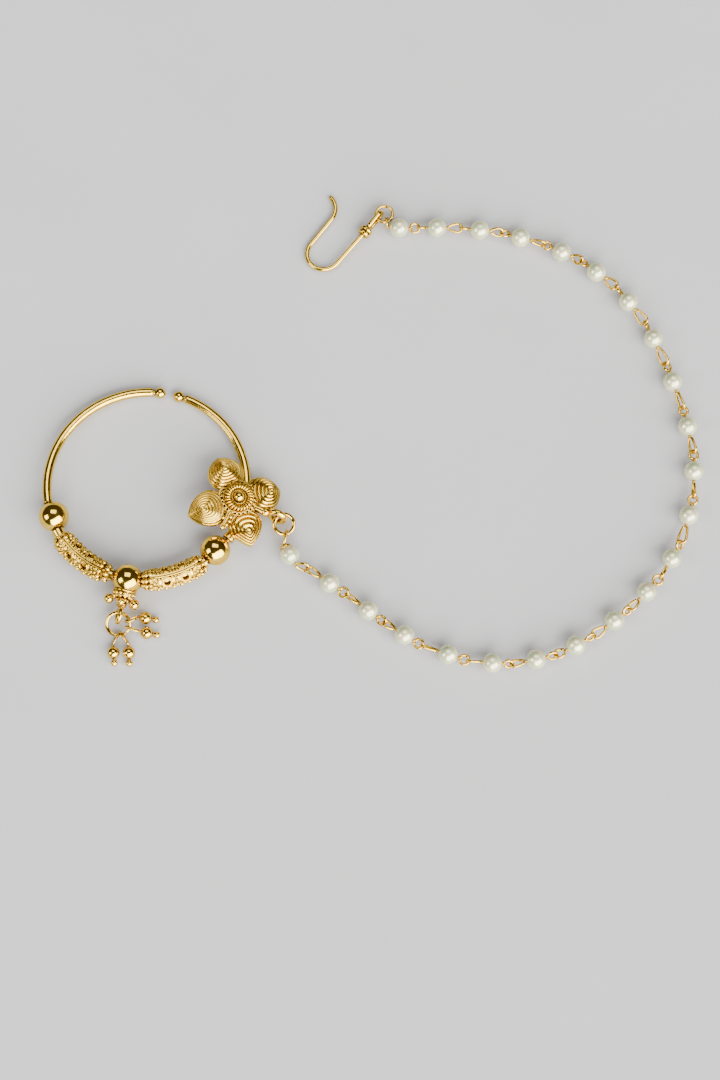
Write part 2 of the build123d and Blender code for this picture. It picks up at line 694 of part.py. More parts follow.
def main():
    shapes = {
        "hoop_core": make_core(),
        "left_sleeve": make_sleeve(LEFT_SLEEVE),
        "right_sleeve": make_sleeve(RIGHT_SLEEVE),
        "ball_bead_left": make_ball("left"),
        "ball_bead_centre": make_centre_ball(),
        "ball_bead_right": make_ball("right"),
        "pierced_bead_left": make_pierced_bead("left"),
        "pierced_bead_right": make_pierced_bead("right"),
    }
    shapes["flower"] = make_flower()
    shapes["drop_ring"] = make_drop_ring()
    for number, drop in enumerate(DROPS, start=1):
        pin, bead = make_drop(drop)
        shapes[f"drop_pin_{number}"] = pin
        shapes[f"drop_bead_{number}"] = bead

    links = make_chain()
    for number, (pin, pearl) in enumerate(links, start=1):
        shapes[f"pearl_{number:02d}"] = pearl
    shapes["eye_pins"] = Compound([pin for pin, pearl in links])
    wire, cut = HOOK_RING_WIRE, HOOK_RING_CUT
    shapes["hook_jump_ring"] = open_ring(HOOK_RING_PLANE, HOOK_RING_RADIUS, wire, cut)
    wire, cut = FLOWER_RING_WIRE, FLOWER_RING_CUT
    shapes["flower_jump_ring"] = open_ring(FLOWER_RING_PLANE, FLOWER_RING_RADIUS, wire, cut)
    shapes["hair_hook"] = make_hook()

    whole = Compound(list(shapes.values())).bounding_box()
    middle = (whole.min + whole.max) / 2
    shift = Pos(-middle.X, -middle.Y, -whole.min.Z)
    print("size", whole.size, "shift", shift.position)
    for name, shape in shapes.items():
        export_step(shift * shape, f"parts/{name}.step")


main()
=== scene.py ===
"""Dresses the frame of a nath, a nose ring with a pearl chain and a hair hook.

Laid out as a Blender add-on. Pieces are modelled in millimetres and brought to the frame's metres when
they are finished. The frame's own nodes say where everything goes.
"""

import random
from math import cos, pi, radians, sin

import bpy
import numpy as np
from mathutils import Matrix, Vector


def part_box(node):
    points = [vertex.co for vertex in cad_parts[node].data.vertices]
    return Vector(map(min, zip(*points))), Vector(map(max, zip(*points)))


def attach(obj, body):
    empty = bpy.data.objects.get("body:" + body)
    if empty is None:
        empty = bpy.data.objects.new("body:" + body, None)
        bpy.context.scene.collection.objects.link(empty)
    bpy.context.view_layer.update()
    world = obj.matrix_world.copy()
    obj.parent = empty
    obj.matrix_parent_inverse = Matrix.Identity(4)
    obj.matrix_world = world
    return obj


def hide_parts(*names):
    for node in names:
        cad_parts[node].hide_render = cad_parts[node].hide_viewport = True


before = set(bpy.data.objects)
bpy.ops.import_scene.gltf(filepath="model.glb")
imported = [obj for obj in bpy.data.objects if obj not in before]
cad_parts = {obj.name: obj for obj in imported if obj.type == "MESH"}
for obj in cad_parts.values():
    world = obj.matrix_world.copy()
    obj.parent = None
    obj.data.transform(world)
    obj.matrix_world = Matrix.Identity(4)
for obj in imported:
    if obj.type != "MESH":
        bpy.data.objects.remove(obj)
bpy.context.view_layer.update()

bl_info = {
    "name": "Nath Dresser",
    "version": (1, 0, 0),
    "blender": (4, 5, 0),
    "location": "View3D > Sidebar > Nath",
    "description": "Models the gold work, pearls and wire of a nose ring on its frame",
    "category": "Object",
}

METRES = 0.001
BODY = "root"


# ---- settings ----
class NathFinish(bpy.types.PropertyGroup):
    """Colours and polish of the metals and the pearls."""

    gold: bpy.props.FloatVectorProperty(
        name="Gold", description="Colour of the polished gold", subtype="COLOR", default=(0.92, 0.64, 0.09)
    )
    # painted shade: the dark brown the gold is darkened to deep in its relief, where shade falls
    recess_shade: bpy.props.FloatVectorProperty(
        name="Recess", description="Browned gold deep in the relief",
        subtype="COLOR", default=(0.15, 0.06, 0.012),
    )
    pale_gold: bpy.props.FloatVectorProperty(
        name="Pale Gold", description="Colour of the chain's wire", subtype="COLOR", default=(0.9, 0.58, 0.06)
    )
    raw_cut: bpy.props.FloatVectorProperty(
        name="Raw Cut", description="Bare metal where a ring was snipped",
        subtype="COLOR", default=(0.85, 0.47, 0.42),
    )
    pearl: bpy.props.FloatVectorProperty(
        name="Pearl", description="Body colour of the pearls", subtype="COLOR", default=(0.62, 0.6, 0.39)
    )
    polish: bpy.props.FloatProperty(
        name="Polish", description="Roughness of the polished gold",
        default=0.1, min=0.0, max=1.0, subtype="FACTOR",
    )


class NathHoop(bpy.types.PropertyGroup):
    """Sizes of the hoop and of what is threaded on it."""

    sleeve: bpy.props.FloatProperty(
        name="Sleeve", description="Diameter of the tubes, mm", default=1.8, min=0.5
    )
    sleeve_wall: bpy.props.FloatProperty(
        name="Sleeve Wall", description="Wall of the tubes, mm", default=0.26, min=0.05
    )
    ball: bpy.props.FloatProperty(
        name="Ball", description="Diameter of the ball beads, mm", default=6.0, min=1.0
    )
    ball_bore: bpy.props.FloatProperty(
        name="Ball Bore", description="Bore of the ball beads, mm", default=2.3, min=0.5
    )
    middle_angle: bpy.props.FloatProperty(
        name="Middle Ball Angle", description="Where the middle ball sits",
        subtype="ANGLE", default=radians(260.8),
    )
    bead: bpy.props.FloatProperty(
        name="Bead", description="Diameter of the pierced beads, mm", default=3.7, min=1.0
    )
    bead_span: bpy.props.FloatProperty(
        name="Bead Span", description="Stretch of hoop under a pierced body",
        subtype="ANGLE", default=radians(28),
    )
    hole: bpy.props.FloatProperty(
        name="Hole", description="Diameter of the pierced holes, mm", default=1.3, min=0.2
    )
    hole_step: bpy.props.FloatProperty(
        name="Hole Step", description="Hoop angle between two holes", subtype="ANGLE", default=radians(10.2)
    )


class NathFlower(bpy.types.PropertyGroup):
    """Sizes and place of the flower."""

    angle: bpy.props.FloatProperty(
        name="Angle", description="Place on the hoop", subtype="ANGLE", default=radians(-11.6)
    )
    roll: bpy.props.FloatProperty(
        name="Roll", description="Tilt about the hoop", subtype="ANGLE", default=radians(12)
    )
    inset: bpy.props.FloatProperty(
        name="Inset", description="Shift towards the hoop's middle, mm", default=1.75
    )
    lift: bpy.props.FloatProperty(
        name="Lift", description="Height of the disc above the wire, mm", default=1.75
    )
    ridge_height: bpy.props.FloatProperty(
        name="Ridge Height", description="Depth of a groove beside the width of its ridge", default=0.42
    )
    dome: bpy.props.FloatProperty(name="Dome", description="Rise of a petal, mm", default=1.9)
    coil_turns: bpy.props.IntProperty(
        name="Coil Turns", description="Turns of the coiled wire", default=26, min=6
    )
    scallops: bpy.props.IntProperty(
        name="Scallops", description="Wire loops round the coil", default=24, min=4
    )


class NathStage(bpy.types.PropertyGroup):
    """Floor, camera and light."""

    elevation: bpy.props.FloatProperty(
        name="Elevation", description="Height of the camera above the floor",
        subtype="ANGLE", default=radians(75),
    )
    distance: bpy.props.FloatProperty(
        name="Distance", description="Camera to floor", subtype="DISTANCE", unit="LENGTH", default=0.45
    )
    floor: bpy.props.FloatVectorProperty(
        name="Floor", description="Colour of the floor", subtype="COLOR", default=(0.42, 0.42, 0.42)
    )


# ---- reading the frame ----
def node_points(name):
    """All the points of a frame node, in millimetres."""
    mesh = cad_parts[name].data
    flat = np.empty(len(mesh.vertices) * 3)
    mesh.vertices.foreach_get("co", flat)
    return flat.reshape(-1, 3) / METRES


def node_middle(name):
    low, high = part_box(name)
    return (low + high) / 2 / METRES


def spin(angle, axis="Z"):
    """Turn about an axis, in radians."""
    return Matrix.Rotation(angle, 4, axis)


def move(x=0.0, y=0.0, z=0.0):
    return Matrix.Translation((x, y, z))


def matrix_of(origin, x_axis, z_axis):
    """Placing matrix whose z axis is z_axis and whose x axis leans as near x_axis as it can."""
    z_axis = Vector(z_axis).normalized()
    x_axis = Vector(x_axis)
    x_axis = (x_axis - z_axis * x_axis.dot(z_axis)).normalized()
    y_axis = z_axis.cross(x_axis)
    turned = Matrix((x_axis, y_axis, z_axis)).transposed().to_4x4()
    return Matrix.Translation(Vector(origin)) @ turned


def along(origin, way):
    """Placing matrix whose z axis runs along way."""
    side = Vector((0, 0, 1)) if abs(Vector(way).normalized().z) < 0.9 else Vector((1, 0, 0))
    return matrix_of(origin, side, way)


def compass(heading, dip):
    """Direction along a compass heading on the floor, dipped below it, both in degrees."""
    turn, dip = radians(heading), radians(dip)
    return Vector((cos(dip) * cos(turn), cos(dip) * sin(turn), -sin(dip)))


def thin_axis(points):
    """Direction in which a cloud of points is thinnest, pointing up."""
    centred = points - points.mean(axis=0)
    axis = Vector(np.linalg.svd(centred, full_matrices=False)[2][2])
    return axis if axis.z > 0 else -axis


def ring_matrix(*names):
    """Placing matrix and radius of the circle that the wire of these nodes follows."""
    points = np.vstack([node_points(name) for name in names])
    axis = thin_axis(points)
    middle = Vector(points.mean(axis=0))
    flat = matrix_of(middle, (1, 0, 0), axis)
    local = (points - np.array(middle)) @ np.array(flat.to_3x3())
    sums = np.c_[local[:, :2] * 2, np.ones(len(local))]
    fit = np.linalg.lstsq(sums, (local[:, :2] ** 2).sum(axis=1), rcond=None)[0]
    reach = np.hypot(local[:, 0] - fit[0], local[:, 1] - fit[1])
    return flat @ move(fit[0], fit[1], 0), (reach.min() + reach.max()) / 2


HOOP, HOOP_RADIUS = ring_matrix("left_sleeve", "right_sleeve")


def on_hoop(angle, inset=0.0):
    """Placing matrix on the hoop's wire: x outwards, y along the wire, z up. The angle is in radians."""
    return HOOP @ spin(angle) @ move(HOOP_RADIUS - inset)


def hoop_span(name):
    """First and last hoop angle that a node on the hoop covers, in radians."""
    local = (node_points(name) - np.array(HOOP.translation)) @ np.array(HOOP.to_3x3())
    middle = local.mean(axis=0)
    centre = np.arctan2(middle[1], middle[0])
    angles = np.arctan2(local[:, 1], local[:, 0]) - centre
    angles = (angles + pi) % (2 * pi) - pi + centre
    return angles.min(), angles.max()


# ---- modelling ----
def alone(obj):
    """Make obj the only selected and the active object."""
    if bpy.context.object and bpy.context.object.mode != "OBJECT":
        bpy.ops.object.mode_set(mode="OBJECT")
    bpy.ops.object.select_all(action="DESELECT")
    obj.select_set(True)
    bpy.context.view_layer.objects.active = obj


def edit(obj, select="SELECT"):
    """Go into edit mode on obj alone, with everything selected or nothing."""
    alone(obj)
    bpy.ops.object.mode_set(mode="EDIT")
    bpy.ops.mesh.select_all(action=select)


def edited(obj):
    """Leave edit mode."""
    bpy.ops.object.mode_set(mode="OBJECT")
    return obj


def place(obj, matrix):
    """Settle an object's place in its mesh."""
    alone(obj)
    obj.matrix_world = matrix
    bpy.ops.object.transform_apply(location=True, rotation=True, scale=True)
    return obj


def copy_of(obj):
    """Separate copy of an object with a mesh of its own."""
    twin = obj.copy()
    twin.data = obj.data.copy()
    bpy.context.scene.collection.objects.link(twin)
    return twin


def joined(objects):
    """Join objects into one, without the originals left over."""
    alone(objects[0])
    for obj in objects:
        obj.select_set(True)
    bpy.ops.object.join()
    return bpy.context.object


def modified(obj, kind, **values):
    """Add a modifier, set it and apply it."""
    alone(obj)
    modifier = obj.modifiers.new(kind.title(), kind)
    for key, value in values.items():
        setattr(modifier, key, value)
    bpy.ops.object.modifier_apply(modifier=modifier.name)
    return obj


def eased(obj, width, angle, segments=2):
    """Bevel the edges that turn by more than angle degrees."""
    limit = {"limit_method": "ANGLE", "angle_limit": radians(angle)}
    return modified(obj, "BEVEL", width=width, segments=segments, **limit)


def outwards(obj):
    """Merge doubled points and turn every face outwards."""
    edit(obj)
    bpy.ops.mesh.remove_doubles(threshold=0.0005)
    bpy.ops.mesh.normals_make_consistent(inside=False)
    return edited(obj)


def finished(obj, name, finish, *nodes, slot="gold", smooth=50.0):
    """Bring a piece to metres, smooth, name and finish it, and let it stand for its nodes."""
    place(obj, Matrix.Scale(METRES, 4) @ obj.matrix_world)
    bpy.ops.object.shade_smooth_by_angle(angle=radians(smooth))
    obj.name = obj.data.name = name
    if not obj.data.materials:
        obj.data.materials.append(None)
    obj.data.materials[0] = finish
    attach(obj, BODY)
    if nodes:
        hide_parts(*nodes)
    return obj


def ball(centre, diameter, segments=24):
    bpy.ops.mesh.primitive_uv_sphere_add(
        segments=segments, ring_count=segments // 2, radius=diameter / 2
    )
    return place(bpy.context.object, Matrix.Translation(centre))


def granule(centre, diameter):
    """Soldered granule, with fewer faces if it is small."""
    bpy.ops.mesh.primitive_ico_sphere_add(subdivisions=3 if diameter > 0.6 else 2, radius=diameter / 2)
    return place(bpy.context.object, Matrix.Translation(centre))


def ring(matrix, radius, wire, turns=40, sides=12):
    """Closed ring of round wire."""
    bpy.ops.mesh.primitive_torus_add(
        major_segments=turns, minor_segments=sides, major_radius=radius, minor_radius=wire / 2
    )
    return place(bpy.context.object, matrix)


def wire(points, diameter, closed=False, steps=6, sides=2):
    """Round wire that passes smoothly through the points."""
    bpy.ops.curve.primitive_bezier_curve_add()
    obj = bpy.context.object
    curve = obj.data
    spline = curve.splines[0]
    spline.bezier_points.add(len(points) - 2)
    for knot, point in zip(spline.bezier_points, points):
        knot.handle_left_type = knot.handle_right_type = "AUTO"
        knot.co = point
    spline.use_cyclic_u = closed
    curve.resolution_u = steps
    curve.bevel_depth = diameter / 2
    curve.bevel_resolution = sides
    curve.use_fill_caps = not closed
    alone(obj)
    bpy.ops.object.convert(target="MESH")
    return bpy.context.object


def drum(radius, depth, height):
    """Upright round block with its middle at a height."""
    bpy.ops.mesh.primitive_cylinder_add(vertices=72, radius=radius, depth=depth)
    return place(bpy.context.object, move(z=height))


def straight(start, end, diameter, sides=16):
    """Round rod between two points."""
    start, end = Vector(start), Vector(end)
    bpy.ops.mesh.primitive_cylinder_add(vertices=sides, radius=diameter / 2, depth=(end - start).length)
    return place(bpy.context.object, along((start + end) / 2, end - start))


def bent(matrix, radius, diameter, start, end, sides=32, step=radians(1.5)):
    """Round rod bent about the z axis of matrix, open at both ends, from one angle to another."""
    bpy.ops.mesh.primitive_circle_add(vertices=sides, radius=diameter / 2)
    obj = place(bpy.context.object, matrix_of((radius, 0, 0), (1, 0, 0), (0, -1, 0)))
    edit(obj)
    steps = max(2, round((end - start) / step))
    bpy.ops.mesh.spin(steps=steps, angle=end - start, center=(0, 0, 0), axis=(0, 0, -1))
    return place(outwards(edited(obj)), matrix @ spin(start))


def capped(obj):
    """Close the open ends of a bent rod."""
    edit(obj, "DESELECT")
    bpy.ops.mesh.select_mode(type="EDGE")
    bpy.ops.mesh.select_non_manifold()
    bpy.ops.mesh.edge_face_add()
    bpy.ops.mesh.select_mode(type="VERT")
    return outwards(edited(obj))


# ---- finishes ----
class Finish:
    """A material under construction: its nodes, links and shader."""

    def __init__(self, name):
        self.material = bpy.data.materials.new(name)
        self.material.use_nodes = True
        self.tree = self.material.node_tree
        self.shader = self.tree.nodes["Principled BSDF"]
        self.place = self.add("ShaderNodeTexCoord").outputs["Object"]

    def add(self, kind, **values):
        node = self.tree.nodes.new(kind)
        for key, value in values.items():
            if hasattr(node, key):
                setattr(node, key, value)
            else:
                node.inputs[key.replace("_", " ")].default_value = value
        return node

    def link(self, output, socket):
        self.tree.links.new(output, socket)

    def noise(self, size, detail=3.0, roughness=0.5, stretch=(1, 1, 1)):
        """Noise with blobs about size millimetres across."""
        mapping = self.add("ShaderNodeMapping")
        mapping.inputs["Scale"].default_value = [value / (size * METRES) for value in stretch]
        self.link(self.place, mapping.inputs["Vector"])
        noise = self.add("ShaderNodeTexNoise", Scale=1.0, Detail=detail, Roughness=roughness)
        self.link(mapping.outputs["Vector"], noise.inputs["Vector"])
        return noise.outputs["Fac"]

    def spread(self, value, low, high, to_low=0.0, to_high=1.0):
        """Stretch the part of value between low and high to a new range."""
        node = self.add("ShaderNodeMapRange")
        for socket, number in zip(("From Min", "From Max", "To Min", "To Max"), (low, high, to_low, to_high)):
            node.inputs[socket].default_value = number
        self.link(value, node.inputs["Value"])
        return node.outputs["Result"]

    def maths(self, operation, first, second):
        node = self.add("ShaderNodeMath", operation=operation)
        for socket, value in zip(node.inputs, (first, second)):
            if isinstance(value, (int, float)):
                socket.default_value = value
            else:
                self.link(value, socket)
        return node.outputs["Value"]

    def mix(self, share, first, second):
        """Blend two colours, each a colour or an output."""
        node = self.add("ShaderNodeMix", data_type="RGBA")
        self.link(share, node.inputs["Factor"])
        for socket, value in zip((node.inputs[6], node.inputs[7]), (first, second)):
            if isinstance(value, bpy.types.NodeSocket):
                self.link(value, socket)
            else:
                socket.default_value = (*value[:3], 1.0)
        return node.outputs[2]

    def bump(self, height, depth):
        """Bump whose full height is depth millimetres; returns its normal."""
        node = self.add("ShaderNodeBump", Strength=1.0, Distance=depth * METRES)
        self.link(height, node.inputs["Height"])
        return node

    def recess_shade(self, reach, low, high):
        """Mask for painted shade: 1 in the open, falling to 0 deep between pieces of relief, reach
        millimetres apart.
        """
        node = self.add("ShaderNodeAmbientOcclusion", samples=8, Distance=reach * METRES)
        return self.spread(node.outputs["AO"], low, high)

    def use(self, **links):
        for name, value in links.items():
            socket = self.shader.inputs[name.replace("_", " ")]
            if isinstance(value, bpy.types.NodeSocket):
                self.link(value, socket)
            else:
                socket.default_value = value
        return self.material


def gold_finish(name, colour, recess_shade, polish, depth=0.9):
    """Polished gold: darkened to brown in its recesses with painted shade, faintly wavy and scratched, duller
    where it is handled less.
    """
    finish = Finish(name)
    patches = finish.spread(finish.noise(2.6, detail=4), 0.35, 0.7)
    warm = [value * shade for value, shade in zip(colour, (0.9, 0.8, 0.6))]
    body = finish.mix(patches, colour, warm)
    # painted shade: ambient occlusion darkens the gold towards the recess shade colour between pieces of
    # relief
    unshaded_share = finish.recess_shade(depth, 0.42, 0.95)
    grime = finish.spread(finish.noise(0.5, detail=5), 0.3, 0.7, 0.8, 1.0)
    # the painted shade in the recesses, with random grime, darkens the body towards the recess shade colour
    colour_out = finish.mix(finish.maths("MULTIPLY", unshaded_share, grime), recess_shade, body)
    scratches = finish.noise(0.35, detail=2, stretch=(1, 14, 3))
    dull = finish.spread(finish.noise(1.1, detail=5), 0.35, 0.75, polish * 0.7, polish * 1.9)
    recess_dull = finish.spread(unshaded_share, 0.0, 1.0, 0.3, 0.0)
    wave = finish.bump(finish.noise(1.7, detail=2), 0.06)
    grain = finish.bump(scratches, 0.0015)
    finish.link(wave.outputs["Normal"], grain.inputs["Normal"])
    return finish.use(
        Base_Color=colour_out,
        Metallic=1.0,
        Roughness=finish.maths("ADD", dull, recess_dull),
        Specular_Tint=(1.0, 0.9, 0.62, 1.0),
        Normal=grain.outputs["Normal"],
    )


def pearl_finish(name, colour):
    """Nacre: a soft body under a clear skin, with faint warm and green clouds and darker specks."""
    finish = Finish(name)
    cloud = finish.spread(finish.noise(1.6, detail=4), 0.35, 0.65)
    green = [value * shade for value, shade in zip(colour, (0.8, 0.98, 0.86))]
    warm = [value * shade for value, shade in zip(colour, (1.22, 1.12, 1.05))]
    body = finish.mix(cloud, green, warm)
    dirt = finish.spread(finish.noise(0.5, detail=6), 0.58, 0.78)
    body = finish.mix(dirt, body, [value * 0.6 for value in colour])
    skin = finish.bump(finish.noise(0.9, detail=3), 0.03)
    return finish.use(
        Base_Color=body,
        Metallic=0.42,
        Roughness=finish.spread(finish.noise(0.8, detail=3), 0.3, 0.7, 0.18, 0.3),
        Subsurface_Weight=0.15,
        Subsurface_Radius=(0.0008, 0.0009, 0.0006),
        Subsurface_Scale=1.0,
        Specular_IOR_Level=0.5,
        Coat_Weight=0.6,
        Coat_IOR=1.55,
        Coat_Roughness=0.16,
        Thin_Film_Thickness=320.0,
        Thin_Film_IOR=1.5,
        Normal=skin.outputs["Normal"],
    )


def raw_finish(name, colour):
    """Snipped metal, bare of gold, with the cutter's lines."""
    finish = Finish(name)
    lines = finish.noise(0.08, detail=1, stretch=(1, 6, 1))
    tint = finish.mix(finish.spread(lines, 0.3, 0.7), colour, [value * 0.7 for value in colour])
    marks = finish.bump(lines, 0.01)
    return finish.use(Base_Color=tint, Metallic=1.0, Roughness=0.38, Normal=marks.outputs["Normal"])


def finish_named(name):
    """A finish, made the first time it is asked for."""
    if name in bpy.data.materials:
        return bpy.data.materials[name]
    look = bpy.context.scene.nath_finish
    if name == "aged_gold":
        return gold_finish(name, look.gold[:], look.recess_shade[:], look.polish)
    if name == "worked_gold":
        return gold_finish(name, look.gold[:], look.recess_shade[:], look.polish * 1.3, depth=0.6)
    if name == "wire_gold":
        return gold_finish(name, look.pale_gold[:], look.recess_shade[:], look.polish * 1.6, depth=0.3)
    if name == "pearl_nacre":
        return pearl_finish(name, look.pearl[:])
    return raw_finish(name, look.raw_cut[:])


# ---- the hoop ----
class NATH_OT_hoop(bpy.types.Operator):
    """Finish the hoop's wire and lay a rolled tube over each side of it"""

    bl_idname = "nath.hoop"
    bl_label = "Hoop and Sleeves"

    LIP = 0.06
    # the seam: degrees round the tube, counted from outwards, and depth as a share of the tube's radius
    SEAM = 135.0
    SEAM_HALF = 2.0
    SEAM_DEPTH = 0.09

    def execute(self, context):
        sizes = context.scene.nath_hoop
        gold = finish_named("aged_gold")
        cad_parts["hoop_core"].data.materials[0] = gold
        for name in ("left_sleeve", "right_sleeve"):
            start, end = hoop_span(name)
            tube = bent(Matrix.Identity(4), HOOP_RADIUS, sizes.sleeve, start, end, sides=40)
            if name == "right_sleeve":
                self.open_seam(tube)
            modified(tube, "SOLIDIFY", thickness=sizes.sleeve_wall, offset=-1.0, use_even_offset=True)
            eased(tube, self.LIP, 60)
            finished(place(tube, HOOP), f"{name}_tube", gold, name)
        return {"FINISHED"}

    def open_seam(self, tube):
        """Sink the line along which the sheet was rolled shut, on the side of the hoop's middle."""
        for point in tube.data.vertices:
            spine = Vector((point.co.x, point.co.y, 0)).normalized() * HOOP_RADIUS
            around = point.co - spine
            angle = np.arctan2(around.z, around.dot(spine.normalized()))
            if abs(angle - radians(self.SEAM)) < radians(self.SEAM_HALF):
                point.co -= around * self.SEAM_DEPTH


# ---- balls ----
# wall and turned-in lip of a ball bead, as shares of its diameter
BALL_WALL = 0.06
BALL_LIP = 0.012


def hollow_ball(centre, way, diameter, bore, segments=64):
    """Ball bead open at both ends of its bore, with lips turned in."""
    obj = ball((0, 0, 0), diameter, segments)
    rim = ((diameter / 2) ** 2 - (bore / 2) ** 2) ** 0.5
    edit(obj, "DESELECT")
    for face in edited(obj).data.polygons:
        face.select = abs(face.center.z) > rim
    bpy.ops.object.mode_set(mode="EDIT")
    bpy.ops.mesh.delete(type="FACE")
    modified(edited(obj), "SOLIDIFY", thickness=diameter * BALL_WALL, offset=-1.0)
    eased(obj, diameter * BALL_LIP, 50)
    return place(obj, along(centre, way))


class NATH_OT_balls(bpy.types.Operator):
    """Set the three smooth ball beads on the hoop, the middle one with its granules and its loop"""

    bl_idname = "nath.balls"
    bl_label = "Ball Beads"

    # the way in which the granules and the loop under the middle ball point, in degrees
    CLUSTER_HEADING = 257.0
    CLUSTER_DIP = 8.0
    # granules under the middle ball: out from its middle, reach to the side, count, diameter
    CLUSTER = [(3.05, 2.05, 14, 0.8), (3.55, 1.4, 9, 0.85), (4.25, 0.95, 6, 0.9)]
    # rings of wire under the middle ball: out from its middle, radius, wire
    CLUSTER_RINGS = [(2.45, 2.1, 0.42), (3.4, 1.75, 0.4), (5.15, 0.8, 0.45), (5.55, 0.75, 0.4)]

    def execute(self, context):
        sizes = context.scene.nath_hoop
        gold = finish_named("aged_gold")
        for name in ("ball_bead_left", "ball_bead_right"):
            centre = node_middle(name)
            reach = centre - HOOP.translation
            way = HOOP.to_3x3().col[2].cross(reach)
            finished(hollow_ball(centre, way, sizes.ball, sizes.ball_bore), f"{name}_shell", gold, name)
        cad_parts["ball_bead_centre"].data.materials[0] = gold
        self.cluster(sizes)
        return {"FINISHED"}

    def cluster(self, sizes):
        """Rounds of granules and wire on the cap under the middle ball and on the stalk below it."""
        way = compass(self.CLUSTER_HEADING, self.CLUSTER_DIP)
        under = matrix_of(on_hoop(sizes.middle_angle).translation, (0, 0, 1), way)
        pieces = []
        for out, reach, count, size in self.CLUSTER:
            for number in range(count):
                turn = 2 * pi * (number + 0.5) / count
                pieces.append(granule(under @ Vector((reach * cos(turn), reach * sin(turn), out)), size))
        for out, reach, size in self.CLUSTER_RINGS:
            pieces.append(ring(under @ move(z=out), reach, size, 48, 10))
        finished(joined(pieces), "ball_bead_centre_granules", finish_named("worked_gold"))


# ---- pierced beads ----
def beside_wire(turn, around, reach):
    """Placing matrix at an angle on the hoop and at another round its wire, z outwards from the wire."""
    return spin(turn) @ move(HOOP_RADIUS) @ spin(around, "Y") @ move(z=reach)


